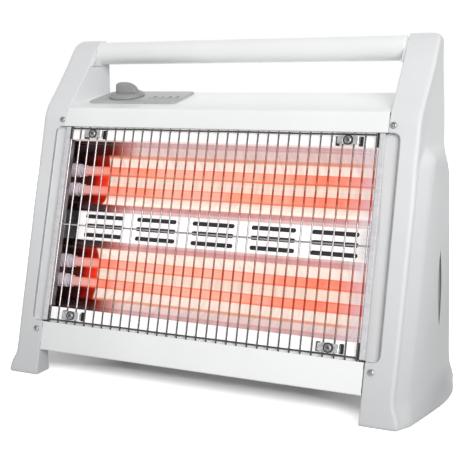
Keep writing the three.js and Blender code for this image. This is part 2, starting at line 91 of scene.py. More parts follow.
# every corner of a path becomes a quadratic curve that starts and ends one radius away from it,
# at most 0.48 of the edge; corners (..., count, 2), radii (..., count)
def roundCorners(corners, radii, steps, closed=True):
    corners = np.asarray(corners, float)
    radii = np.broadcast_to(np.asarray(radii, float), corners.shape[:-1])
    before = np.roll(corners, 1, axis=-2) - corners
    after = np.roll(corners, -1, axis=-2) - corners
    if not closed:
        before[..., 0, :] = 0
        after[..., -1, :] = 0
    lengthBefore = np.linalg.norm(before, axis=-1, keepdims=True) + 1e-9
    lengthAfter = np.linalg.norm(after, axis=-1, keepdims=True) + 1e-9
    reach = radii[..., None]
    start = corners + before / lengthBefore * np.minimum(reach, 0.48 * lengthBefore)
    end = corners + after / lengthAfter * np.minimum(reach, 0.48 * lengthAfter)
    t = np.linspace(0, 1, steps + 1)[:, None]
    start, middle, end = start[..., None, :], corners[..., None, :], end[..., None, :]
    curve = (1 - t) ** 2 * start + 2 * t * (1 - t) * middle + t ** 2 * end
    return curve.reshape(*corners.shape[:-2], -1, 2)


# quads between neighbouring rows and columns of a grid of points; a wrapped grid joins its last
# column to its first, and a cap closes the first or last row with one face
def quadSheet(points, wrap=False, caps=False):
    rows, columns = points.shape[:2]
    index = np.arange(rows * columns).reshape(rows, columns)
    here = index if wrap else index[:, :-1]
    there = np.roll(index, -1, axis=1) if wrap else index[:, 1:]
    quads = np.stack([here[:-1], there[:-1], there[1:], here[1:]], axis=-1).reshape(-1, 4)
    faces = quads.tolist()
    if caps:
        faces += [index[0, ::-1].tolist(), index[-1].tolist()]
    return points.reshape(-1, 3), faces


# a round section carried along a path: point + radius * (cos a * side + sin a * up), where side and
# up are square to the path's direction
def tubeAlong(path, radius, sides):
    path = np.asarray(path, float)
    direction = unit(np.gradient(path, axis=0))
    spread = np.abs(direction).max(axis=0)
    guide = np.eye(3)[int(np.argmin(spread))]
    side = unit(np.cross(direction, guide))
    upward = np.cross(direction, side)
    angle = around(sides)[None, :, None]
    radius = np.broadcast_to(np.asarray(radius, float), len(path))[:, None, None]
    points = path[:, None] + radius * (np.cos(angle) * side[:, None] + np.sin(angle) * upward[:, None])
    return quadSheet(points, wrap=True, caps=True)


# a profile of (radius, height) turned about the third axis: (r cos a, r sin a, h)
def turned(profile, sides):
    radius, height = np.array(profile, float).T[..., None]
    angle = around(sides)
    return quadSheet(columnsOf(radius * np.cos(angle), radius * np.sin(angle), height), wrap=True, caps=True)


# a closed outline lifted through levels: point - normal * inset at each level's height, where the
# normal points outwards; the sign of the enclosed area tells which side that is
def liftedOutline(outline, levels):
    outline = np.asarray(outline, float)
    edge = np.roll(outline, -1, axis=0) - np.roll(outline, 1, axis=0)
    normal = unit(columnsOf(edge[:, 1], -edge[:, 0]))
    area = np.sum(outline[:, 0] * np.roll(outline[:, 1], -1) - np.roll(outline[:, 0], -1) * outline[:, 1])
    normal *= math.copysign(1, area)
    inset, height = np.array(levels, float).T[..., None]
    x, y = outline.T[:, None] - normal.T[:, None] * inset
    return quadSheet(columnsOf(x, y, height), wrap=True, caps=True)


# moves the points of a (points, faces) pair by a function of their three columns
def moved(shape, place):
    points, faces = shape
    return place(points[:, 0], points[:, 1], points[:, 2]), faces


# a lifted outline whose corners are rounded first, moved to its place
def lifted(corners, radii, steps, levels, place):
    return moved(liftedOutline(roundCorners(corners, radii, steps), levels), place)


# a shape of the right side for side 1, or its mirror image for side -1: X changes its sign, and the
# faces are turned over
def onSide(shape, side):
    points, faces = shape
    return (points * [-1, 1, 1], [face[::-1] for face in faces]) if side < 0 else shape


def addObject(name, data):
    holder = bpy.data.objects.new(name, data)
    bpy.context.scene.collection.objects.link(holder)
    return holder


# a mesh of its own with the object's modifiers, or its text, worked in
def workedOut(holder):
    graph = bpy.context.evaluated_depsgraph_get()
    return bpy.data.meshes.new_from_object(holder.evaluated_get(graph))


# one piece from shapes in millimetres, smooth except at edges sharper than the crease angle
def makePiece(name, shapes, finish, replaces=(), rides="heater", crease=35, closed=True):
    points, faces, start = [], [], 0
    for shapePoints, shapeFaces in shapes:
        points.append(np.asarray(shapePoints, float).reshape(-1, 3))
        faces += [[index + start for index in face] for face in shapeFaces]
        start += len(points[-1])
    mesh = bpy.data.meshes.new(name)
    mesh.from_pydata((np.concatenate(points) * 0.001).tolist(), [], faces)
    shell = bmesh.new()
    shell.from_mesh(mesh)
    if closed:
        bmesh.ops.remove_doubles(shell, verts=shell.verts, dist=1e-6)
        bmesh.ops.recalc_face_normals(shell, faces=shell.faces)
    for face in shell.faces:
        face.smooth = True
    shell.to_mesh(mesh)
    shell.free()
    piece = addObject(name, mesh)
    mesh.materials.append(finish)
    mesh.set_sharp_from_angle(angle=math.radians(crease))
    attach(piece, rides)
    if replaces:
        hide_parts(*replaces)
    return piece


# takes the cutter's shapes out of a piece, and keeps the result as the piece's own mesh; the cut
# faces may have a finish of their own
def cutOut(piece, shapes, crease, inside=None):
    finish = piece.data.materials[0]
    cutter = makePiece("cutter", shapes, inside or finish)
    change = piece.modifiers.new("cut", "BOOLEAN")
    change.object = cutter
    change.operation = "DIFFERENCE"
    change.solver = "EXACT"
    if inside:
        change.material_mode = "TRANSFER"
    cutMesh = workedOut(piece)
    piece.modifiers.remove(change)
    piece.data = cutMesh
    if not inside:
        cutMesh.materials.clear()
        cutMesh.materials.append(finish)
    bpy.data.objects.remove(cutter)
    for polygon in cutMesh.polygons:
        polygon.use_smooth = True
    cutMesh.set_sharp_from_angle(angle=math.radians(crease))


# a wall grows from an open sheet by its thickness, to one side of it; the new side may have a
# finish of its own
def giveWall(piece, thickness, offset, backFinish=None):
    wall = piece.modifiers.new("wall", "SOLIDIFY")
    if backFinish:
        piece.data.materials.append(backFinish)
        wall.material_offset = 1
    wall.thickness = thickness * 0.001
    wall.offset = offset
    solid = workedOut(piece)
    piece.modifiers.remove(wall)
    piece.data = solid
    solid.set_sharp_from_angle(angle=math.radians(35))


# a screen colour from 0 to 255, turned to linear light
def tone(red, green, blue):
    share = np.array([red, green, blue]) / 255
    linear = np.where(share <= 0.04045, share / 12.92, ((share + 0.055) / 1.055) ** 2.4)
    return (*[float(value) for value in linear], 1.0)


# helpers that add nodes to a tree; an input takes either a value or another node's output
class Nodes:
    def __init__(self, tree):
        self.tree = tree

    def add(self, kind, **settings):
        node = self.tree.nodes.new(kind)
        for key, value in settings.items():
            setattr(node, key, value)
        return node

    def feed(self, socket, value):
        if isinstance(value, bpy.types.NodeSocket):
            self.tree.links.new(value, socket)
        else:
            socket.default_value = value

    # low + share * (high - low), where share is the input from one value to another
    def between(self, value, fromLow, fromHigh, low=0.0, high=1.0):
        node = self.add("ShaderNodeMapRange")
        sockets = ("Value", "From Min", "From Max", "To Min", "To Max")
        for socket, number in zip(sockets, (value, fromLow, fromHigh, low, high)):
            self.feed(node.inputs[socket], number)
        return node.outputs["Result"]

    def mathOf(self, operation, first, second):
        node = self.add("ShaderNodeMath", operation=operation)
        self.feed(node.inputs[0], first)
        self.feed(node.inputs[1], second)
        return node.outputs["Value"]

    def plus(self, first, second):
        return self.mathOf("ADD", first, second)

    def times(self, first, second):
        return self.mathOf("MULTIPLY", first, second)

    # how far a value is from a middle, to either side
    def distance(self, value, middle=0.0):
        return self.mathOf("ABSOLUTE", self.mathOf("SUBTRACT", value, middle), 0.0)

    # what the eye and mirrors see, as 1, against what only lights the heater, as 0
    def seen(self):
        path = self.add("ShaderNodeLightPath").outputs
        mirrors = self.mathOf("MAXIMUM", path["Is Camera Ray"], path["Is Glossy Ray"])
        return self.mathOf("MAXIMUM", mirrors, path["Is Transmission Ray"])


# a material; positions in it are in metres
class Finish(Nodes):
    def __init__(self, name, colour, roughness, metallic=0.0, coat=0.0):
        self.material = bpy.data.materials.new(name)
        self.material.use_nodes = True
        super().__init__(self.material.node_tree)
        self.shader = self.tree.nodes["Principled BSDF"]
        self.set("Base Color", tone(*colour))
        self.set("Roughness", roughness)
        self.set("Metallic", metallic)
        if coat:
            self.set("Coat Weight", coat)
            self.set("Coat Roughness", 0.12)
        self.place = self.add("ShaderNodeTexCoord").outputs["Object"]
        self.material.diffuse_color = tone(*colour)

    def set(self, socket, value):
        self.feed(self.shader.inputs[socket], value)

    def noise(self, scale, detail=3.0, vector=None):
        node = self.add("ShaderNodeTexNoise")
        for socket, value in (("Scale", scale), ("Detail", detail), ("Vector", vector or self.place)):
            self.feed(node.inputs[socket], value)
        return node.outputs["Fac"]

    # noise in a stretched space, so that its patches are long
    def streaks(self, stretch, scale, detail):
        stretched = self.add("ShaderNodeMapping")
        self.feed(stretched.inputs["Scale"], stretch)
        self.feed(stretched.inputs["Vector"], self.slopePlace())
        return self.noise(scale, detail, stretched.outputs["Vector"])

    # distance from the middle bar's line, up or down the slope
    def fromBar(self, up):
        return self.distance(up, body["middleUp"] * 0.001)

    # from one colour to another; each is a screen colour or another node's output
    def mix(self, share, first, second):
        node = self.add("ShaderNodeMix", data_type="RGBA")
        self.feed(node.inputs["Factor"], share)
        for socket, value in (("A", first), ("B", second)):
            target = [item for item in node.inputs if item.name == socket and item.type == "RGBA"][0]
            self.feed(target, tone(*value) if isinstance(value, tuple) else value)
        return [item for item in node.outputs if item.type == "RGBA"][0]

    # colours at their own places along a value
    def ramp(self, value, stops):
        node = self.add("ShaderNodeValToRGB")
        points = node.color_ramp.elements
        while len(points) < len(stops):
            points.new(1.0)
        for point, (position, colour) in zip(points, stops):
            point.position = position
            point.color = tone(*colour)
        self.feed(node.inputs["Fac"], value)
        return node.outputs["Color"]

    # two colours in soft patches
    def patchy(self, patches, colourA, colourB):
        return self.mix(self.between(patches, 0.35, 0.65), colourA, colourB)

    # roughness that varies with the patches
    def rough(self, patches, low, high):
        self.set("Roughness", self.between(patches, 0.3, 0.7, low, high))

    # a worn surface: patches of colour and roughness, and a fine grain
    def wear(self, colourA, colourB, patchScale, grainScale, grainDepth, roughness):
        patches = self.noise(patchScale)
        self.set("Base Color", self.patchy(patches, colourA, colourB))
        self.rough(patches, *roughness)
        self.grain(grainScale, grainDepth)
        return self.material

    def grain(self, scale, depth):
        bump = self.add("ShaderNodeBump")
        self.feed(bump.inputs["Strength"], 0.6)
        self.feed(bump.inputs["Distance"], depth * 0.001)
        self.feed(bump.inputs["Height"], self.noise(scale, 4.0))
        self.set("Normal", bump.outputs["Normal"])

    # X, depth behind the guard and distance up the slope, in metres
    def slopePlace(self):
        turn = self.add("ShaderNodeMapping")
        toe = body["toeY"] * 0.001
        self.feed(turn.inputs["Rotation"], (body["tilt"], 0, 0))
        self.feed(turn.inputs["Location"], (0, -toe * cosTilt, -toe * sinTilt))
        self.feed(turn.inputs["Vector"], self.place)
        return turn.outputs["Vector"]

    def split(self, vector):
        node = self.add("ShaderNodeSeparateXYZ")
        self.feed(node.inputs["Vector"], vector)
        return node.outputs


# moulded white: two soft whites, with painted shade that makes them greyer towards the foot and on the cheeks
def mouldedFinish():
    finish = Finish("moulded_white", (231, 232, 233), 0.38)
    patches = finish.noise(9)
    whites = finish.patchy(patches, (222, 223, 224), (227, 228, 229))
    x, _, z = finish.split(finish.place)
    # painted shade: greyer towards the foot, and greyer again on the outer sides of the panels
    height = finish.between(z, -0.02, 0.18)
    outward = finish.between(finish.distance(x), 0.198, 0.214)
    upright = finish.mix(height, (197, 198, 199), whites)
    finish.set("Base Color", finish.mix(outward, upright, (175, 176, 177)))
    finish.rough(patches, 0.34, 0.46)
    finish.set("Specular IOR Level", 0.2)
    finish.grain(2600, 0.012)
    return finish.material


# powder-coated white, with painted shade that makes it a little greyer towards the lower left: inside
# the opening it also carries a painted glow in place of the tubes' own light
def powderFinish():
    finish = Finish("powder_white", (242, 243, 243), 0.3)
    x, behind, up = finish.split(finish.slopePlace())
    patches = finish.noise(12)
    whites = finish.patchy(patches, (241, 242, 242), (245, 246, 246))
    # painted shade: greyer towards the lower left
    corner = finish.between(finish.plus(x, finish.times(up, 0.4)), -0.16, -0.02)
    finish.set("Base Color", finish.mix(corner, (224, 225, 226), whites))
    finish.rough(patches, 0.27, 0.38)
    finish.grain(700, 0.01)
    # painted glow: emission on the white strips and the bar inside the opening, in place of the tubes' light
    inOpening = finish.between(finish.fromBar(up), 0.0955, 0.0975, 1.0, 0.0)
    recessed = finish.between(behind, 0.0022, 0.0034)
    shallow = finish.between(behind, 0.048, 0.052, 1.0, 0.0)
    share = finish.times(finish.times(inOpening, recessed), shallow)
    finish.set("Emission Color", tone(255, 247, 244))
    finish.set("Emission Strength", finish.times(share, 0.42))
    return finish.material


mouldedWhite = mouldedFinish()
powderWhite = powderFinish()
handleWhite = Finish("handle_white", (240, 241, 241), 0.34).wear(
    (238, 239, 239), (243, 243, 244), 14, 1800, 0.008, (0.3, 0.42))
platedSteel = Finish("plated_steel", (176, 177, 179), 0.3, 1.0).wear(
    (160, 161, 163), (190, 191, 193), 300, 2600, 0.015, (0.22, 0.42))
zincSheet = Finish("zinc_sheet", (150, 150, 152), 0.42, 1.0).wear(
    (128, 128, 131), (168, 168, 170), 90, 1500, 0.02, (0.34, 0.52))
railSteel = Finish("rail_steel", (206, 205, 208), 0.34).wear(
    (200, 199, 202), (212, 211, 214), 200, 2600, 0.01, (0.2, 0.36))
screwSteel = Finish("screw_steel", (128, 128, 130), 0.34, 1.0).wear(
    (104, 104, 106), (150, 150, 152), 500, 2600, 0.02, (0.28, 0.48))
panelScrewSteel = Finish("panel_screw_steel", (148, 148, 150), 0.34, 1.0).wear(
    (130, 130, 132), (164, 164, 166), 500, 2600, 0.02, (0.28, 0.48))
# painted shadow: a grey for the thin ring inside the recess's mouth
shadowRingGrey = Finish("shadow_ring_grey", (160, 160, 162), 0.5).wear(
    (152, 152, 154), (168, 168, 170), 90, 2000, 0.02, (0.45, 0.6))
dialGrey = Finish("dial_grey", (150, 150, 151), 0.42).wear(
    (146, 146, 147), (154, 154, 155), 60, 2600, 0.02, (0.36, 0.5))
plateGrey = Finish("plate_grey", (172, 173, 175), 0.4).wear(
    (168, 169, 171), (177, 178, 180), 40, 2200, 0.012, (0.3, 0.42))
# painted shade: a dark grey for the faces cut into the room behind the front foot
paintedShadeMoulding = Finish("painted_shade_moulding", (84, 84, 86), 0.6).wear(
    (76, 76, 78), (92, 92, 94), 60, 1800, 0.03, (0.5, 0.7))
# black moulding for the black parts; the same dark colour also serves the pieces of painted shade
blackMouldingAndShade = Finish("black_moulding_and_shade", (30, 30, 32), 0.42).wear(
    (26, 26, 28), (36, 36, 38), 70, 2000, 0.03, (0.36, 0.52))
holderCeramic = Finish("holder_ceramic", (226, 218, 228), 0.55).wear(
    (214, 204, 216), (234, 228, 236), 140, 1600, 0.04, (0.48, 0.66))
printedBlack = Finish("printed_black", (60, 60, 62), 0.5).wear(
    (54, 54, 56), (68, 68, 70), 200, 2400, 0.01, (0.45, 0.6))


# plated wire with painted light and shade: painted shade where it crosses the white strips, a painted
# warm glow in front of the tubes, and a painted pale highlight in front of the dark left end of the
# reflectors
def wireFinish():
    wire = Finish("plated_wire", (112, 112, 115), 0.24, 1.0)
    x, _, up = wire.split(wire.slopePlace())
    share = wire.between(wire.fromBar(up), 0.0, 0.1)
    bare, paintedGlowOverTube, paintedShadeOverStrip = (150, 150, 153), (128, 46, 30), (74, 74, 76)
    # painted light and shade: the colour follows what lies behind the wire
    warm = wire.ramp(share, [
        (0.0, bare), (0.15, bare), (0.18, (128, 92, 88)), (0.31, (126, 78, 66)),
        (0.33, paintedGlowOverTube), (0.42, paintedGlowOverTube), (0.44, (128, 84, 70)), (0.51, (128, 84, 70)),
        (0.53, (130, 46, 30)), (0.62, (130, 46, 30)), (0.64, (128, 86, 74)),
        (0.72, (122, 86, 78)), (0.75, (112, 98, 96)), (0.82, (100, 94, 94)),
        (0.845, paintedShadeOverStrip), (1.0, paintedShadeOverStrip)])
    # painted highlight: pale in front of the dark left end of the reflectors
    atLeft = wire.between(x, -0.1165, -0.112, 1.0, 0.0)
    ended = wire.times(atLeft, wire.between(share, 0.82, 0.84, 1.0, 0.0))
    colour = wire.mix(ended, warm, (168, 162, 164))
    wire.set("Base Color", colour)
    wire.set("Emission Color", colour)
    # painted glow in front of the tubes and on the pale stretch
    glow = wire.times(wire.between(share, 0.16, 0.19), wire.between(share, 0.72, 0.82, 1.0, 0.0))
    wire.set("Emission Strength", wire.mathOf("MAXIMUM", wire.times(glow, 0.1), wire.times(ended, 0.12)))
    wire.rough(wire.noise(160), 0.18, 0.34)
    wire.grain(3000, 0.01)
    return wire.material


platedWire = wireFinish()


# polished sheet with the tubes' light painted on as a glow: painted reflections whose colour follows the
# distance from the middle bar, a painted red edge on the left and a pale one on the right, and a darker base
# colour on the last stretch at the left
def glowingSheet():
    sheet = Finish("reflector_sheet", (150, 140, 138), 0.22, 1.0)
    x, behind, up = sheet.split(sheet.slopePlace())
    fromMiddle = sheet.fromBar(up)
    share = sheet.between(fromMiddle, 0.014, 0.084)
    cream, warm, rose = (255, 240, 228), (255, 206, 176), (216, 146, 146)
    band = sheet.ramp(share, [
        (0.0, (234, 196, 194)), (0.045, (230, 186, 182)), (0.055, rose), (0.11, rose),
        (0.125, cream), (0.24, cream), (0.31, warm), (0.41, (255, 226, 208)),
        (0.54, (255, 230, 214)), (0.61, warm), (0.70, cream), (0.81, (255, 236, 222)),
        (0.825, (228, 152, 128)), (0.85, (226, 156, 138)), (0.862, (228, 206, 202)),
        (0.935, (226, 208, 206)), (0.95, (214, 162, 164)), (1.0, (210, 168, 170))])
    # painted reflections of the coils, as long streaks
    stripes = sheet.streaks((1, 0.12, 0.12), 200, 2.5)
    level = sheet.between(stripes, 0.34, 0.62, 0.84, 1.0)
    # the edge of the painted glow leans back with the depth of the trough
    leaning = sheet.plus(x, sheet.times(behind, 0.426))
    deep = sheet.times(sheet.between(share, 0.1, 0.13), sheet.between(share, 0.83, 0.86, 1.0, 0.0))
    sharpEdge = sheet.between(leaning, -0.1152, -0.1135)
    softEdge = sheet.between(leaning, -0.112, -0.078)
    shallow = sheet.mathOf("SUBTRACT", 1.0, deep)
    leftEdge = sheet.plus(sheet.times(deep, sharpEdge), sheet.times(shallow, softEdge))
    # painted glow: from dark to red at the left edge
    paintedRedEdge = sheet.ramp(sheet.between(leaning, -0.148, -0.114), [
        (0.0, (30, 18, 16)), (0.3, (70, 26, 18)), (0.48, (120, 22, 14)),
        (0.6, (206, 30, 16)), (0.85, (250, 48, 22)), (1.0, (252, 74, 40))])
    fromPair = sheet.distance(fromMiddle, 0.047)
    paintedRedEdgeLevel = sheet.times(sheet.between(fromPair, 0.006, 0.018, 1.0, 0.3), deep)
    # painted light: pale towards the right end
    paleEnd = sheet.between(x, 0.128, 0.150, 0.0, 0.85)
    paintedGlow = sheet.mix(paleEnd, band, (222, 212, 218))
    sheet.set("Emission Color", sheet.mix(leftEdge, paintedRedEdge, paintedGlow))
    pastEdge = sheet.mathOf("SUBTRACT", 1.0, leftEdge)
    strength = sheet.plus(sheet.times(leftEdge, level), sheet.times(pastEdge, paintedRedEdgeLevel))
    sheet.set("Emission Strength", sheet.times(strength, 0.9))
    sheet.set("Base Color", sheet.mix(leftEdge, (70, 56, 58), (104, 92, 90)))
    sheet.rough(sheet.noise(60), 0.16, 0.32)
    sheet.grain(420, 0.05)
    return sheet.material


# milky quartz lit from inside: salmon along the middle of each tube, deeper red towards the right,
# a painted reflection of deeper red along its edges, pale at both ends
def glowingQuartz():
    quartz = Finish("glowing_quartz", (240, 120, 90), 0.16, 0.0, 0.3)
    x, _, up = quartz.split(quartz.slopePlace())
    fromPair = quartz.distance(quartz.fromBar(up), 0.047)
    fromAxis = quartz.distance(fromPair, 0.010)
    patches = quartz.streaks((1, 0.3, 0.3), 46, 3.0)
    along = quartz.between(x, -0.165, 0.165)
    paleEnd = (210, 196, 204)
    core = quartz.ramp(along, [
        (0.03, (206, 180, 184)), (0.06, (226, 172, 166)), (0.1, (246, 166, 148)),
        (0.15, (255, 164, 142)), (0.3, (255, 186, 164)), (0.6, (254, 182, 158)),
        (0.78, (254, 162, 138)), (0.88, (254, 146, 120)), (0.93, (240, 160, 152)),
        (0.965, (216, 188, 196)), (1.0, paleEnd)])
    rim = quartz.ramp(along, [
        (0.03, (150, 110, 110)), (0.1, (226, 84, 60)), (0.3, (236, 118, 86)),
        (0.6, (238, 112, 80)), (0.88, (236, 92, 64)), (0.95, (214, 140, 146)),
        (1.0, (196, 170, 178))])
    hot = quartz.ramp(along, [
        (0.03, (214, 180, 180)), (0.15, (252, 110, 76)), (0.35, (255, 150, 108)),
        (0.62, (255, 146, 108)), (0.88, (255, 104, 70)), (0.96, (216, 180, 190)),
        (1.0, paleEnd)])
    milky = quartz.mix(quartz.between(patches, 0.4, 0.62, 0.0, 0.75), core, hot)
    # painted reflection: deeper red along the upper and lower edges of each tube
    quartz.set("Emission Color", quartz.mix(quartz.between(fromAxis, 0.0033, 0.0045), milky, rim))
    quartz.set("Emission Strength", quartz.between(patches, 0.3, 0.7, 0.9, 1.0))
    quartz.set("Base Color", quartz.mix(along, (60, 30, 24), (70, 34, 28)))
    quartz.grain(300, 0.03)
    return quartz.material


# the coils inside the tubes, brighter than the quartz around them
def glowingWire():
    coil = Finish("coil_glow", (255, 90, 40), 0.5)
    patches = coil.between(coil.noise(400), 0.3, 0.7)
    coil.set("Emission Color", coil.mix(patches, (255, 90, 40), (255, 150, 80)))
    coil.set("Emission Strength", 1.6)
    return coil.material


reflectorSheet = glowingSheet()
quartzGlow = glowingQuartz()
coilGlow = glowingWire()
print("finishes ready")


panel = {
    "top": 328.0, "topRound": 8.0, "cornerCut": 2.2, "taper": 2.4,
    "front": [(0, 0), (252, 71.3), (262, 78), (276, 92.5), (298, 114), (316, 128.5), (328, 139.5)],
    "inner": [(0, 161.8), (30, 162.1), (250, 164.4), (328, 165.0)],
    "frontX": [(0, 195.4), (4, 195.2), (8, 194.4), (12, 193.0), (15, 191.4), (18, 190.2), (24, 189.7),
               (60, 190.4), (140, 191.4), (180, 192.0), (214, 191.5), (252, 192.0), (276, 193.0),
               (298, 194.2), (328, 194.4)],
    "rearX": [(0, 210.0), (5, 209.6), (11, 208.8), (17, 208.4), (30, 207.8), (77, 206.2), (126, 204.4),
              (178, 202.0), (200, 200.8), (207, 199.8), (214, 198.6), (227, 198.8), (258, 197.8),
              (286, 195.9), (308, 194.8), (328, 194.4)],
    # the cheek stands off the side: its height at the ridge, over the front corner, and at the rear
    "ridge": [(0, 7.6), (6, 7.8), (14, 8.2), (40, 8.4), (60, 9.2), (140, 10.0), (190, 10.2), (208, 11.1),
              (217, 11.8), (221, 8), (226, 1), (227, 0), (328, 0)],
    "rearCheek": [(0, 7.4), (5, 7.2), (11, 6.0), (17, 4.5), (26, 4.1), (126, 3.7), (193, 4.0), (208, 3.9),
                  (214, 3.0), (220, 1.4), (227, 0), (328, 0)],
    # how far back from the front the cheek's bevel starts and ends, and the swell at its middle
    "valley": [(0, 3.0), (10, 3.4), (30, 5.4), (206, 5.4), (214, 8.5), (222, 19), (226, 26), (328, 26)],
    "ridgeBack": [(0, 15), (6, 15.6), (14, 20.8), (60, 24.0), (140, 25.6), (190, 26.3), (208, 28.4),
                  (220, 31), (328, 31)],
    "bulge": [(0, 14), (4, 12.8), (8, 10.6), (12, 7.6), (16, 4.8), (20, 3.2), (30, 2.2), (205, 2.0),
              (224, 0), (328, 0)],
    "radii": [1.2, 2.6, 2.6, 3.0, 3.0, 40, 6, 5, 1.5],
}


# straight interpolation in a list of pairs, with the kinks softened over a short stretch
def softTable(pairs, z, width):
    keys, values = np.array(pairs, float).T
    spread = np.linspace(-width, width, 9)
    return np.mean([np.interp(z + shift, keys, values) for shift in spread], axis=0)


# the right panel: at each height a closed section through nine corners, whose places come from the
# tables above, with the corners rounded
def panelShape():
    top, topRound = panel["top"], panel["topRound"]
    z = np.concatenate([
        [0, 0.4, 1.0, 2.0], np.linspace(4, 24, 11), np.linspace(30, 184, 29), np.linspace(188, 230, 29),
        np.linspace(234, 300, 26), np.linspace(303, 317, 6), top - topRound + topRound * np.sin(
            np.linspace(0.05, math.pi / 2, 12))])
    turn = np.clip((z - (top - topRound)) / topRound, 0, 1)
    fall = 1 - np.sqrt(1 - turn ** 2)              # a quarter circle at the top
    foot = np.clip(1 - z / 2.0, 0, 1) ** 2 * 0.8   # a small round under the foot
    value = lambda key, width=2.5: softTable(panel[key], z, width)
    frontY = body["toeY"] + value("front", 4) + fall * 6 + foot
    rearY = body["rearY"] - fall * 4 - foot
    inward = fall * topRound + foot
    inner = value("inner") + fall * 1.5
    frontX, rearX = value("frontX") - inward, value("rearX") - inward
    deep = rearY - frontY
    cut = np.minimum(panel["cornerCut"], 0.1 * deep)
    valleyY = frontY + np.minimum(value("valley"), 0.3 * deep)
    ridgeY = frontY + np.minimum(value("ridgeBack"), 0.5 * deep)
    crestY = rearY - np.minimum(4.0, 0.2 * deep)
    sideX = lambda y: frontX + (rearX - frontX) * (y - valleyY) / (rearY - valleyY)
    ridgeX = np.maximum(sideX(ridgeY), frontX + value("ridge"))
    crestX = sideX(crestY) + value("rearCheek")
    share = 0.5 + 0.12 * np.clip(1 - z / 30, 0, 1)
    middleY = ridgeY + (crestY - ridgeY) * share
    middleX = ridgeX + (crestX - ridgeX) * share + value("bulge")
    corners = np.stack([np.stack(pair, -1) for pair in (
        (inner, frontY), (frontX - cut, frontY), (frontX, frontY + cut), (frontX, valleyY),
        (ridgeX, ridgeY), (middleX, middleY), (crestX, crestY),
        (rearX + value("rearCheek"), rearY), (inner - panel["taper"], rearY))], axis=1)
    section = roundCorners(corners, panel["radii"], steps=6)
    height = np.broadcast_to(z[:, None], section.shape[:2])
    return quadSheet(np.concatenate([section, height[..., None]], axis=-1), wrap=True, caps=True)


notch = {"inX": 145.0, "outX": 175.2, "low": 53.5, "high": 250.0, "round": 8.0, "deep": 4.0}


# the recess beside the guard, a lifted outline: its mouth flares by half a millimetre and its floor
# is rounded
def notchShape():
    corners = box(notch["inX"], notch["outX"], notch["low"], notch["high"])
    levels = [(-0.5, -3.0), (-0.5, 0.0), (-0.2, 0.15), (0.0, 0.5)]
    levels += [(0.0, notch["deep"] - 0.5), (0.15, notch["deep"] - 0.15), (0.5, notch["deep"])]
    return lifted(corners, [4, notch["round"], notch["round"], 4], 10, levels, onSlope)


# the hollow behind the recess, where the ends of the tubes are held
hollow = {"corners": box(150, 174.5, 40, 262), "radii": [0.1, 2, 2, 0.1], "steps": 3,
          "levels": [(0, 9.6), (0, 61)], "place": onSlope}
# the flange carries the recess's floor on towards the rail
flange = {"corners": box(160.4, 166.5, 50, 253.5), "radii": [0.6, 0.2, 0.2, 0.6], "steps": 3,
          "levels": [(0.5, 4.04), (0.15, 4.15), (0, 4.5), (0, 6.4)], "place": onSlope}
# the room behind the front foot: the panel is open towards the heater's underside
footRoom = {
    "corners": [(150, -61), (186.5, -61), (203, -4), (209, 52), (150, 52)], "radii": [2, 5, 20, 5, 2],
    "levels": [(-0.6, -4.0), (-0.6, 0.0), (0.0, 1.2), (0.0, 18), (0.8, 20.6), (3.0, 22.4)], "steps": 6,
    "place": columnsOf,
}
# a low pad on the panel's inner face, behind the end of the handle: an outline in Y and Z lifted in X
handlePad = {
    "corners": [(body["toeY"] + 118.5, 301), (70, 301), (70, 324.5), (body["toeY"] + 139, 324.5),
                (body["toeY"] + 131, 318)],
    "radii": [1, 2, 3, 3, 4], "levels": [(0, 165.4), (0, 162.6), (0.25, 162.36), (0.6, 162.3)], "steps": 5,
    "place": lambda y, z, x: columnsOf(x, y, z),
}
slit = {"y": body["toeY"] + 109.6, "z": 98.5, "halfHigh": 36.0, "halfWide": 7.0, "fitX": 190, "fitY": 16,
        "fitZ": 44, "levels": [(0.0, -3.0), (0.0, 0.45), (-3.0, 0.5), (-3.0, 14.0)]}


# a lens in the cheek: half width w * (1 - t * t) along its height, through a thin lip into a
# wider pocket. The depth is taken from a curved surface fitted to the panel's own points.
def slitShape():
    x, y, z = rightPanel[0].T
    y, z = y - slit["y"], z - slit["z"]
    near = (np.abs(y) < slit["fitY"]) & (np.abs(z) < slit["fitZ"]) & (x > slit["fitX"])
    terms = lambda y, z: columnsOf(1.0, y, z, y * y, y * z, z * z)
    fitted = np.linalg.lstsq(terms(y[near], z[near]), x[near], rcond=None)[0]
    t = np.linspace(-1, 1, 31)
    width, height = slit["halfWide"] * (1 - t ** 2) + 0.03, slit["halfHigh"] * t
    outline = np.concatenate([columnsOf(width, height), columnsOf(-width, height)[::-1]])
    place = lambda y, z, depth: columnsOf(terms(y, z) @ fitted - depth, y + slit["y"], z + slit["z"])
    return moved(liftedOutline(outline, slit["levels"]), place)


shadowRing = {"inX": 165.2, "section": [(-0.45, 0.25), (0.5, 0.25), (0.5, 2.4), (-0.45, 2.4)]}


# a thin ring of painted shadow round the recess, just inside its mouth: its section of (inset, depth) is
# carried along the mouth's outline, point + inward * inset; the repeated points at the outline's ends are
# left out
def shadowRingShape():
    corners = box(shadowRing["inX"], notch["outX"], notch["low"], notch["high"])
    path = roundCorners(corners, [0, notch["round"], notch["round"], 0], 10, closed=False)[10:-10]
    along = unit(np.gradient(path, axis=0))
    inward = columnsOf(-along[:, 1], along[:, 0])
    points = np.empty((len(path), len(shadowRing["section"]), 3))
    for column, (inset, behind) in enumerate(shadowRing["section"]):
        x, up = (path + inward * inset).T
        points[:, column] = fromSlope(x, behind, up)
    return quadSheet(points, wrap=True, caps=True)


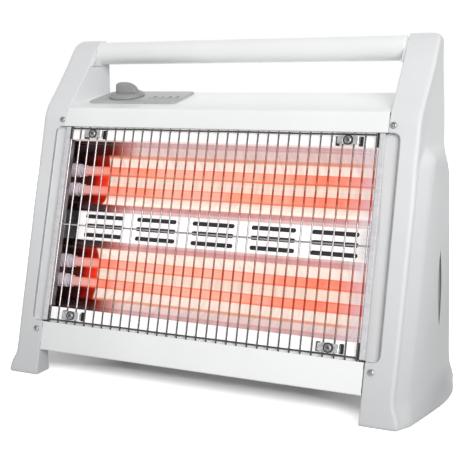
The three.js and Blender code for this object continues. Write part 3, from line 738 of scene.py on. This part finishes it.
rightPanel = panelShape()
for side, sideName in ((1, "right"), (-1, "left")):
    piece = makePiece(f"{sideName}_panel_shell", [onSide(rightPanel, side)], mouldedWhite,
                      [f"{sideName}_side_panel"], crease=50)
    for opening in (notchShape(), lifted(**hollow), slitShape()):
        cutOut(piece, [onSide(opening, side)], 40)
    # the cut faces behind the front foot are dark with painted shade
    cutOut(piece, [onSide(lifted(**footRoom), side)], 40, paintedShadeMoulding)
    makePiece(f"{sideName}_handle_pad", [onSide(lifted(**handlePad), side)], mouldedWhite)
    makePiece(f"{sideName}_recess_flange", [onSide(lifted(**flange), side)], mouldedWhite)
    makePiece(f"{sideName}_recess_shadow_ring", [onSide(shadowRingShape(), side)], shadowRingGrey)
print("side panels ready")


handle = {"radius": 11.5, "y": body["toeY"] + 139.5, "z": 314.5, "end": 163.4}


# a turned profile laid along X; both ends have the same rounded rim
def handleShape():
    end, radius = handle["end"], handle["radius"]
    rim = [(radius - 1.6, end), (radius - 0.5, end), (radius - 0.12, end - 0.35), (radius, end - 1),
           (radius, end - 3)]
    profile = [(reach, -x) for reach, x in rim] + [(radius, 0)] + rim[::-1]
    return moved(turned(profile, 72), lambda a, b, x: columnsOf(x, handle["y"] + a, handle["z"] + b))


makePiece("handle_grip", [handleShape()], handleWhite, ["handle_tube"])
print("handle ready")


case = {
    "topEnd": 164.1, "lowEnd": 161.6, "ledgeEnd": 157.6, "bottom": 23.5, "ledge": 4.2, "openingHalf": 84.5,
    "guardTop": 249.8, "guardBottom": 53.2, "hem": 12, "backY": body["toeY"] + 151.7, "backFold": 14,
    "topRadii": [0, 1.0, 0.7, 0.8, 3.2, 3.0, 0], "lowRadii": [0, 1.0, 0.7, 0.8, 2.2, 0],
    "clipX": 130.0, "clipUps": (61.8, 242.4), "slotReach": 10.6, "slotHalf": (1.9, 4.4),
}
bendPoints = 8
backZ = creaseZ + (case["backY"] - creaseY) * math.tan(body["topRise"])


# a path in (Y, Z) carried along X; the path's bends are already rounded, and the first three of
# them, inside the opening, reach less far than the rest
def foldedSheet(path, halfLength):
    reach = np.where(np.arange(len(path)) < 3 * bendPoints, case["ledgeEnd"], halfLength)
    return quadSheet(columnsOf(np.linspace(-1, 1, 9)[:, None] * reach, *np.asarray(path).T))


# the folds round the opening, from the hem inside it out to the fascia: (up, behind) to (Y, Z)
def openingFolds(edge, guardEdge, fasciaEdge):
    folds = [(edge, case["hem"]), (edge, case["ledge"]), (guardEdge, case["ledge"]), (guardEdge, 0),
             (fasciaEdge, 0)]
    return [tuple(fromSlope(0, behind, up)[1:]) for up, behind in folds]


# a block with square edges on the slope
def boxShape(x0, x1, behind0, behind1, up0, up1):
    return moved(liftedOutline(box(x0, x1, up0, up1), [(0, behind0), (0, behind1)]), onSlope)


topCorners = openingFolds(body["middleUp"] + case["openingHalf"], case["guardTop"], body["creaseUp"])
topCorners += [(case["backY"], backZ), (case["backY"], backZ - case["backFold"])]
topPath = roundCorners(topCorners, case["topRadii"], bendPoints - 1, closed=False)
lowCorners = openingFolds(body["middleUp"] - case["openingHalf"], case["guardBottom"],
                          case["bottom"] / cosTilt + 0.3)
lowCorners += [(body["toeY"] + 24, case["bottom"])]
lowPath = roundCorners(lowCorners, case["lowRadii"], bendPoints - 1, closed=False)
lowClipUp, topClipUp = case["clipUps"]
for pieceName, path, clipUp, offset, end in (("upper_shell", topPath, topClipUp, 1.0, case["topEnd"]),
                                             ("lower_shell", lowPath, lowClipUp, -1.0, case["lowEnd"])):
    node = pieceName.replace("shell", "case")
    piece = makePiece(pieceName, [foldedSheet(path, end)], powderWhite, [node],
                      crease=40, closed=False)
    giveWall(piece, body["sheet"], offset)
    halfX, halfUp = case["slotHalf"]
    slotX = [side * case["clipX"] + reach for side in (-1, 1)
             for reach in (-case["slotReach"], case["slotReach"])]
    cutOut(piece, [boxShape(x - halfX, x + halfX, 0, case["ledge"] + 4, clipUp - halfUp, clipUp + halfUp)
                   for x in slotX], 40)
print("case ready")


# one cell of a slotted sheet: rings from the cell's rectangle in to the slot's outline, then over a
# small lip and through the sheet. Points are (across, up, depth).
def slotCell(left, right, low, high, halfLength, halfHigh, thickness):
    middleX, middleUp = (left + right) / 2, (low + high) / 2
    arc, straight, ends = 5, 6, 9
    run = halfLength - halfHigh
    quarter = np.linspace(0, math.pi / 4, arc)
    topX = np.concatenate([-run - halfHigh * np.sin(quarter[::-1]), np.linspace(-run, run, straight)[1:-1],
                           run + halfHigh * np.sin(quarter)])
    topUp = np.concatenate([halfHigh * np.cos(quarter[::-1]), np.full(straight - 2, halfHigh),
                            halfHigh * np.cos(quarter)])
    side = np.linspace(math.pi / 4, -math.pi / 4, ends)[1:-1]
    sideX, sideUp = run + halfHigh * np.cos(side), halfHigh * np.sin(side)
    halfSlot = np.concatenate([columnsOf(topX, topUp), columnsOf(sideX, sideUp)])
    across, upward = (right - left) / 2, (high - low) / 2
    acrossTop = np.linspace(-across, across, len(topX))
    upSide = np.linspace(upward, -upward, ends)[1:-1]
    halfCell = np.concatenate([columnsOf(acrossTop, upward), columnsOf(across, upSide)])
    slot, cell = np.concatenate([halfSlot, -halfSlot]), np.concatenate([halfCell, -halfCell])
    outward = unit(slot)
    rings = [(cell, 0.0), (slot + outward * 0.5, 0.0), (slot + outward * 0.15, 0.12), (slot, 0.45),
             (slot, thickness)]
    middle = [middleX, middleUp]
    return quadSheet(np.stack([columnsOf(*(ring + middle).T, depth) for ring, depth in rings]), wrap=True)


bar = {"half": 14.8, "end": 150.0, "deep": 22.0, "flange": 20.0, "bend": 1.3, "slot": (22.0, 2.1),
       "slotPitch": 61.0, "rowPitch": 10.7, "liner": (148, 13), "linerDeep": (6.0, 6.6)}


def onBar(x, up, depth):
    return fromSlope(x, bar["deep"] + depth, body["middleUp"] + up)


# the bar's face with its slots, and a rounded fold back along its four edges: a quarter circle of
# insets and depths
def barShapes():
    bend, half, end = bar["bend"], bar["half"], bar["end"]
    xEdges = [-end + bend, *[bar["slotPitch"] * step for step in (-1.5, -0.5, 0.5, 1.5)], end - bend]
    upEdges = [-half + bend, -0.5 * bar["rowPitch"], 0.5 * bar["rowPitch"], half - bend]
    shapes = [slotCell(*xPair, *upPair, *bar["slot"], body["sheet"])
              for xPair in zip(xEdges, xEdges[1:]) for upPair in zip(upEdges, upEdges[1:])]
    quarter = np.linspace(0, math.pi / 2, 6)
    levels = [(bend * (1 - math.sin(a)), bend * (1 - math.cos(a))) for a in quarter] + [(0, bar["flange"])]
    points, faces = lifted(box(-end, end, -half, half), bend * 0.9, 4, levels, columnsOf)
    shapes.append((points, faces[:-2]))
    return [moved(shape, onBar) for shape in shapes]


# a dark sheet inside the bar, behind its slots
def linerShape():
    halfX, halfUp = bar["liner"]
    outline, levels = box(-halfX, halfX, -halfUp, halfUp), [(0, deep) for deep in bar["linerDeep"]]
    return moved(liftedOutline(outline, levels), onBar)


makePiece("middle_bar_face", barShapes(), powderWhite, ["middle_bar"], crease=50,
          closed=False)
makePiece("bar_liner", [linerShape()], blackMouldingAndShade, crease=30)
print("bar ready")


# the troughs' section of (depth, distance from the middle bar's line), carried along X
reflector = {
    "end": 171.6, "columns": 45, "sheet": 0.8,
    "path": [(34, 15.3), (20, 15.3), (18.4, 16.8), (18.4, 21), (33, 26), (43, 32), (46, 42), (42.5, 47),
             (46, 52), (43, 63), (31, 73), (17.2, 79.8), (13, 81.6), (13, 94)],
    "radii": [0, 1.2, 0.8, 1.6, 3, 5, 5, 3, 5, 5, 5, 3, 1, 0],
}
trough = roundCorners(reflector["path"], reflector["radii"], 6, closed=False)
across = np.linspace(-reflector["end"], reflector["end"], reflector["columns"])[:, None]
for side, pieceName in ((1, "upper_trough"), (-1, "lower_trough")):
    points = fromSlope(across, trough[None, :, 0], body["middleUp"] + side * trough[None, :, 1])
    piece = makePiece(pieceName, [quadSheet(points[::-side])], reflectorSheet,
                      [pieceName.replace("trough", "reflector")], crease=30, closed=False)
    giveWall(piece, reflector["sheet"], 1.0, zincSheet)
print("reflectors ready")


tube = {"radius": 5.0, "deep": 29.0, "ends": 164.0, "offsets": (-57, -37, 37, 57), "sag": 0.12,
        "coil": 2.2, "coilWire": 0.35, "turns": 90, "coilFrom": 6}


# a round tube with rounded rims that waves a little up and down: sag * cos(3 pi x / end)
def tubeShape(up):
    end, radius = tube["ends"], tube["radius"]
    x = np.concatenate([[-end, -end + 0.3, -end + 1.2], np.linspace(-end + 4, end - 4, 40),
                        [end - 1.2, end - 0.3, end]])
    size = np.full(len(x), radius)
    size[[0, -1]] = radius - 0.8
    size[[1, -2]] = radius - 0.25
    angle = around(32)
    sag = tube["sag"] * np.cos(x / end * math.pi * 3)
    behind = tube["deep"] + size[:, None] * np.cos(angle)
    upward = up + sag[:, None] + size[:, None] * np.sin(angle)
    return quadSheet(fromSlope(x[:, None], behind, upward), wrap=True, caps=True)


# a helix about the tube's axis: (pitch * turn, r cos turn, r sin turn)
def coilShape(up):
    turn = np.linspace(0, 2 * math.pi * tube["turns"], tube["turns"] * 10)
    end = tube["ends"] - tube["coilFrom"]
    x = np.linspace(-end, end, len(turn))
    path = fromSlope(x, tube["deep"] + tube["coil"] * np.cos(turn), up + tube["coil"] * np.sin(turn))
    return tubeAlong(path, tube["coilWire"], 5)


# a ceramic end, turned from pairs of (radius, distance outwards from x): a stepped collar with a
# rounded nose towards the middle and a groove
ceramicEnd = {
    "x": 157.5,
    "profile": [(4.6, -6.5), (5.5, -6.4), (5.8, -6.0), (5.8, -4.6), (5.4, -4.2), (5.4, -3.6), (5.8, -3.2),
                (5.8, -1.8), (5.4, -1.4), (5.4, -0.6), (6.4, -0.2), (6.9, 0.4), (7.0, 1.2), (7.0, 6.0),
                (6.3, 6.5), (6.3, 8.0), (7.0, 8.5), (7.0, 14.2), (6.6, 14.5), (2.0, 14.5)],
}


def holderShape(side, up):
    place = lambda a, b, x: fromSlope(side * (ceramicEnd["x"] + x), tube["deep"] + a, up + b)
    return moved(turned(ceramicEnd["profile"], 36), place)


for number, offset in enumerate(tube["offsets"], 1):
    up = body["middleUp"] + offset
    makePiece(f"glowing_tube_{number}", [tubeShape(up)], quartzGlow, [f"quartz_tube_{number}"])
    makePiece(f"glowing_coil_{number}", [coilShape(up)], coilGlow, [f"heating_coil_{number}"])
    for side, sideName in ((-1, "left"), (1, "right")):
        makePiece(f"ceramic_end_{sideName}_{number}", [holderShape(side, up)], holderCeramic,
                  [f"tube_holder_{sideName}_{number}"])
print("tubes ready")


guard = {"top": 249.0, "bottom": 55.5, "pitch": 10.0, "count": 32, "radius": 0.8, "unevenX": 0.12,
         "lean": 0.1, "hook": 2.4, "crossDeep": 1.4, "wave": 0.12, "rail": (157.3, 162.4), "railHalf": 0.8}


# upright wires, each on the pitch with a small error and lean, its lower end carried on down by a sine
# and back by a square; and three cross wires behind them, waved by a sine of X
def guardShapes():
    top, bottom, radius = guard["top"], guard["bottom"], guard["radius"]
    shapes = []
    t = np.linspace(0, 1, 7)
    hook = bottom + 0.5 - guard["hook"] * np.sin(t * math.pi / 2)
    up = np.concatenate([[top, top - 0.3, top - 1, 200, 152, 100, bottom + 3], hook])
    behind = np.concatenate([np.zeros(7), 0.9 * t ** 2])
    size = np.full(len(up), radius)
    size[[0, -1]] = radius * 0.7
    for index in range(guard["count"]):
        x = (index - (guard["count"] - 1) / 2) * guard["pitch"]
        x += rng.uniform(-guard["unevenX"], guard["unevenX"])
        lean = rng.uniform(-guard["lean"], guard["lean"])
        shapes.append(tubeAlong(fromSlope(x + lean * (up - 150) / 100, behind, up), size, 10))
    x = np.linspace(-guard["rail"][0] - 1, guard["rail"][0] + 1, 34)
    wave = guard["wave"] * np.sin(x / 17)
    for up in (bottom + 0.6, body["middleUp"] - 2.1, top - 1):
        shapes.append(tubeAlong(fromSlope(x, guard["crossDeep"], up + wave), radius, 10))
    return shapes


makePiece("wire_guard", guardShapes(), platedWire, ["guard"], crease=60)


# a flat rail with rounded edges at each end of the wires, an outline in X and depth lifted up the slope
def railShape(side):
    half, top, bottom = guard["railHalf"], guard["top"], guard["bottom"]
    levels = [(0.5, bottom - 0.6), (0.1, bottom - 0.4), (0, bottom), (0, 150), (0, top - 0.4), (0.1, top),
              (0.5, top + 0.2)]
    return onSide(lifted(box(*guard["rail"], -half, half), 0.75, 5, levels, fromSlope), side)


# dark strips of painted shadow: they close the gaps between the rail, the white strips and the fascia
corner = {
    "boxes": [(155.4, 157.3, 54.5, 69.0), (155.4, 157.3, 237.0, 250.4), (157.3, 163.0, 249.0, 250.4),
              (157.3, 163.0, 53.2, 54.6), (161.2, 162.1, 47.5, 51.5), (161.2, 162.1, 27.5, 32.5)],
    "round": 0.3, "levels": [(0, 0.3), (0, 2.4)],
}


def cornerShadeShapes():
    strips = [lifted(box(*place), corner["round"], 3, corner["levels"], onSlope) for place in corner["boxes"]]
    return [onSide(strip, side) for strip in strips for side in (1, -1)]


makePiece("guard_rails", [railShape(-1), railShape(1)], railSteel, crease=50)
makePiece("corner_shade_strips", cornerShadeShapes(), blackMouldingAndShade, crease=30)
print("guard ready")


screw = {"clipHead": (3.4, 2.0), "clipBehind": -1.9, "panelHead": (2.9, 1.7), "panelBehind": -0.1,
         "panelX": 168.5, "panelUps": (45.5, 256.5)}


# a domed head with a cross recess: height = dome(r) - depth inside the cross, on rings and rays
def screwShape(headRadius, headHigh, turn):
    share = np.concatenate([np.linspace(0.02, 0.62, 17), np.linspace(0.68, 1.0, 9)])[::-1]
    angle = around(64)
    radius = share[:, None] * headRadius
    height = headHigh * np.sqrt(np.clip(1 - (share[:, None] * 0.93) ** 2.6, 0, 1)) * np.ones_like(angle)
    a = radius * np.cos(angle + turn)
    b = radius * np.sin(angle + turn)
    arm, wide = headRadius * 0.56, headRadius * 0.13

    def inCross(along, across):
        inLength = np.clip((arm - np.abs(along)) / 0.25, 0, 1)
        inWidth = np.clip((wide + 0.12 - np.abs(across)) / 0.14, 0, 1)
        return inLength * inWidth * (1 - 0.45 * np.abs(along) / arm)

    recess = np.maximum(inCross(a, b), inCross(b, a))
    height = height - recess * headHigh * 0.75
    top = columnsOf(radius * np.cos(angle), radius * np.sin(angle), height)
    rim = columnsOf(headRadius * np.cos(angle), headRadius * np.sin(angle), 0.0)[None]
    return quadSheet(np.concatenate([rim, top]), wrap=True, caps=True)


clip = {
    "half": 10.5, "high": 3.8, "behind": -2.2, "fold": 1.6, "foldDeep": 2.2, "sheet": 0.8,
    "screwShade": [(3.0, 0.0), (4.3, 0.0), (4.5, 0.15), (4.5, 0.35), (4.3, 0.5), (3.0, 0.5)],
    "screwShadeBehind": -2.15, "slotShadeHalf": (1.7, 4.2), "slotShadeBehind": (-1.2, 2.2),
}


# the clip: a plate over two wires, dished round its screw by a bell curve of the distance, with its
# ends bent back into the strip by a square of the distance and drawn in
def clipShape(x, up):
    u = np.linspace(-1, 1, 43)[:, None]
    v = np.linspace(-1, 1, 19)[None, :]
    half, fold = clip["half"], clip["fold"]
    across, upward = u * half + 0 * v, v * clip["high"] + 0 * u
    fromScrew = np.hypot(across, upward)
    dish = 0.5 * np.exp(-((fromScrew - 3.9) / 0.5) ** 2) + 0.35 * (fromScrew < 3.6)
    bent = np.clip((np.abs(across) - (half - fold)) / fold, 0, 1) ** 2 * clip["foldDeep"]
    narrow = 1 - 0.22 * np.clip((np.abs(across) - 7) / 3.5, 0, 1)
    return quadSheet(fromSlope(x + across, clip["behind"] + dish + bent, up + upward * narrow))


# a turned shape that stands out from the slope at one place
def standing(shape, x, behind, up):
    return moved(shape, lambda a, b, h: fromSlope(x + a, behind - h, up + b))


# dark blocks of painted shade in the slots where the clip's two ends go into the strip
def slotShadeShapes(x, up):
    halfX, halfUp = clip["slotShadeHalf"]
    near, far = [case["ledge"] + behind for behind in clip["slotShadeBehind"]]
    return [boxShape(x + reach - halfX, x + reach + halfX, near, far, up - halfUp, up + halfUp)
            for reach in (-case["slotReach"], case["slotReach"])]


# a screw head at one place, with its cross turned by chance
def addScrew(kind, number, finish, x, up):
    shape = screwShape(*screw[f"{kind}Head"], rng.uniform(0, 1.5))
    head = standing(shape, x, screw[f"{kind}Behind"], up)
    makePiece(f"{kind}_screw_head_{number}", [head], finish, [f"{kind}_screw_{number}"],
              crease=30)


clipPlaces = [(side * case["clipX"], up) for up in case["clipUps"] for side in (-1, 1)]
for number, (x, up) in enumerate(clipPlaces, 1):
    piece = makePiece(f"saddle_clip_{number}", [clipShape(x, up)], platedSteel,
                      [f"guard_clip_{number}"], crease=60, closed=False)
    giveWall(piece, clip["sheet"], 1.0)
    # painted shade: a black ring in the dish round the screw head
    screwShade = standing(turned(clip["screwShade"], 40), x, clip["screwShadeBehind"], up)
    makePiece(f"clip_screw_shade_{number}", [screwShade], blackMouldingAndShade, crease=30)
    makePiece(f"clip_slot_shades_{number}", slotShadeShapes(x, up), blackMouldingAndShade, crease=30)
    addScrew("clip", number, screwSteel, x, up)
screwPlaces = [(side * screw["panelX"], up) for up in screw["panelUps"] for side in (-1, 1)]
for number, (x, up) in enumerate(screwPlaces, 1):
    addScrew("panel", number, panelScrewSteel, x, up)
print("clips and screws ready")


dial = {
    "x": -122.0, "along": (body["toeY"] + 119.5 - creaseY) / math.cos(body["topRise"]), "radius": 18.6,
    "plate": (-154.0, -55.0, 22.3, 73.2), "plateRound": 6.0, "thick": 1.6, "high": 16.5, "gap": 0.6,
    "marks": (180, 225, 270, 315), "markFrom": 20.4, "markLong": 2.2, "markHalf": 0.35,
    "digits": "0123", "digitX": -88, "digitStep": 8.5, "digitAlong": 46, "digitSize": 7.5,
    "rule": (-93, -58, 39, 39.7),
}


# the control plate: a rounded rectangle on the top, lifted with a small round at its upper edge
def plateShape():
    top = 0.3 + dial["thick"]
    levels = [(0.3, 0.1), (0.0, 0.3), (0.0, top - 0.5), (0.15, top - 0.15), (0.5, top)]
    return lifted(box(*dial["plate"]), dial["plateRound"], 8, levels, fromDeck)


# a turned base, and a grip: a half moon along X lifted across its thickness, which shrinks by
# 1 - 0.22 * share towards the top
def knobShapes():
    base, radius, high = dial["thick"] + dial["gap"], dial["radius"], dial["high"]
    disc = turned([(3.2, base), (radius - 0.4, base), (radius, base + 0.4), (radius, base + 1.5),
                   (radius - 0.5, base + 2.1), (radius - 2.6, base + 3.6), (radius - 3.4, base + 3.95),
                   (radius - 6, base + 4.3), (3.2, base + 4.6)], 72)
    corners = [(-11.0, base + 3.2), (-9.8, high), (4.0, high), (11.6, high - 4.5), (13.2, base + 3.2)]
    edge = [(1.4, 4.3), (0.5, 4.0), (0.1, 3.4), (0.0, 2.6)]
    levels = [(inset, -half) for inset, half in edge] + edge[::-1]
    place = lambda a, c, b: columnsOf(a, b * (1 - 0.22 * np.clip((c - base - 4) / 10, 0, 1)), c)
    return [disc, lifted(corners, [0.2, 3.6, 7.0, 6.0, 0.2], 9, levels, place)]


# from the knob's axis to the top, turned about the axis by an angle
def aboutKnob(shape, angle=0.0):
    c, s = math.cos(angle), math.sin(angle)
    return moved(shape, lambda a, b, h: fromDeck(dial["x"] + a * c - b * s, dial["along"] + a * s + b * c, h))


# short raised marks round the knob, one for each of its places
def markShapes():
    near, half = dial["markFrom"], dial["markHalf"]
    corners = box(near, near + dial["markLong"], -half, half)
    mark = lifted(corners, 0.2, 2, [(0, 1.7), (0, 2.0), (0.08, 2.05)], columnsOf)
    return [aboutKnob(mark, math.radians(angle)) for angle in dial["marks"]]


# a plain number, taken from Blender's own font as a thin solid
def numberShape(text, x):
    curve = bpy.data.curves.new("digits", "FONT")
    curve.body = text
    curve.size = dial["digitSize"] * 0.001
    curve.extrude = 0.00008
    curve.resolution_u = 4
    curve.align_x = "CENTER"
    curve.align_y = "CENTER"
    holder = addObject("digits", curve)
    flat = workedOut(holder)
    co = np.empty(len(flat.vertices) * 3)
    flat.vertices.foreach_get("co", co)
    faces = [list(polygon.vertices) for polygon in flat.polygons]
    bpy.data.objects.remove(holder)
    co = co.reshape(-1, 3) * 1000
    return fromDeck(x + co[:, 0], dial["digitAlong"] + co[:, 1], co[:, 2] + 1.95), faces


# a thin line under the numbers
def ruleShape():
    return moved(liftedOutline(box(*dial["rule"]), [(0, 1.8), (0, 2.0)]), fromDeck)


makePiece("dial_plate", [plateShape()], plateGrey, ["control_plate"], crease=30)
makePiece("dial_knob", [aboutKnob(shape) for shape in knobShapes()], dialGrey,
          ["selector_knob"], rides="knob", crease=40)
makePiece("dial_marks", markShapes(), printedBlack, crease=30)
digits = [numberShape(text, dial["digitX"] + dial["digitStep"] * index)
          for index, text in enumerate(dial["digits"])]
makePiece("dial_numbers", digits + [ruleShape()], printedBlack, crease=30)
print("controls ready")


keptFinishes = {
    "switch_shaft": platedSteel, "rotary_switch": blackMouldingAndShade, "tip_switch_body": blackMouldingAndShade,
    "tip_plunger": blackMouldingAndShade, "tip_spring": platedSteel, "thermal_cutout": blackMouldingAndShade,
    "terminal_block": holderCeramic, "cable_gland": blackMouldingAndShade, "bottom_plate": zincSheet,
    "left_end_plate": zincSheet, "right_end_plate": zincSheet, "back_panel": powderWhite,
}
for name, finish in keptFinishes.items():
    materials = nodes[name].data.materials
    materials.clear()
    materials.append(finish)
print("frame pieces ready")


studio = {
    "floorSeen": (252, 252, 252), "floorBounce": (150, 150, 150), "floorGlow": (0.0, 0.62),
    "shadowHalf": (0.2, 0.05), "floorHalf": 60.0, "worldFill": (0.1, 0.62), "fillFrom": (-0.62, -0.7, 0.34),
    "lampSize": 1.5, "lampAim": 0.15,
    "lamps": {"key_lamp": (49.0, (1.56, -1.74, 1.08)), "back_lamp": (27.0, (-0.9, 1.9, 1.1))},
}
# the photograph's camera: place in metres, angles in degrees, focal length in its pixels
view = {"place": (0.3246, -0.7300, 0.2783), "azimuth": 23.10, "down": 9.80, "focal": 836.7, "pixels": 465}


# the floor is white where it is seen, greyer where it only lights the heater from below, and glows
# away from the heater, so that it meets the white room without an edge
def floorFinish():
    floor = Finish("studio_floor", studio["floorSeen"], 0.9)
    seen = floor.seen()
    colour = floor.mix(seen, studio["floorBounce"], studio["floorSeen"])
    floor.set("Base Color", colour)
    aside, ahead = [floor.mathOf("DIVIDE", floor.distance(value), half)
                    for value, half in zip(floor.split(floor.place), studio["shadowHalf"])]
    glow = floor.between(floor.mathOf("MAXIMUM", aside, ahead), 0.5, 1.2, *studio["floorGlow"])
    floor.set("Emission Color", (1, 1, 1, 1))
    floor.set("Emission Strength", floor.times(glow, seen))
    floor.set("Specular IOR Level", 0.0)
    return floor.material


half = studio["floorHalf"]
floorMesh = bpy.data.meshes.new("studio_floor")
floorMesh.from_pydata([(x, y, 0) for x, y in box(-half, half, -half, half)], [], [(0, 1, 2, 3)])
floorPiece = addObject("studio_floor", floorMesh)
floorMesh.materials.append(floorFinish())

# the room is white where it is seen; as a light, it comes mostly from the front, the left and above
world = bpy.data.worlds.new("studio")
bpy.context.scene.world = world
world.use_nodes = True
room = Nodes(world.node_tree)
facing = room.add("ShaderNodeVectorMath", operation="DOT_PRODUCT")
room.feed(facing.inputs[0], room.add("ShaderNodeTexCoord").outputs["Generated"])
room.feed(facing.inputs[1], studio["fillFrom"])
fill = room.between(facing.outputs["Value"], -1, 1, *studio["worldFill"])
back = room.tree.nodes["Background"]
room.feed(back.inputs["Color"], (1, 1, 1, 1))
room.feed(back.inputs["Strength"], room.between(room.seen(), 0, 1, fill, 1.0))

# each lamp looks from its place at the heater's middle
for lampName, (power, place) in studio["lamps"].items():
    lamp = bpy.data.lights.new(lampName, "AREA")
    lamp.shape = "SQUARE"
    lamp.size = studio["lampSize"]
    lamp.energy = power
    holder = addObject(lampName, lamp)
    holder.location = place
    x, y, z = place[0], place[1], place[2] - studio["lampAim"]
    holder.rotation_euler = (math.atan2(math.hypot(x, y), z), 0, math.atan2(y, x) + math.pi / 2)
bpy.data.objects["back_lamp"].visible_glossy = False

camera = bpy.data.cameras.new("camera")
camera.sensor_width = 36
camera.lens = camera.sensor_width * view["focal"] / view["pixels"]
cameraPiece = addObject("camera", camera)
cameraPiece.location = view["place"]
cameraPiece.rotation_euler = (math.radians(90 - view["down"]), 0, math.radians(view["azimuth"]))
bpy.context.scene.camera = cameraPiece
bpy.context.scene.view_settings.view_transform = "Standard"
print("studio ready")
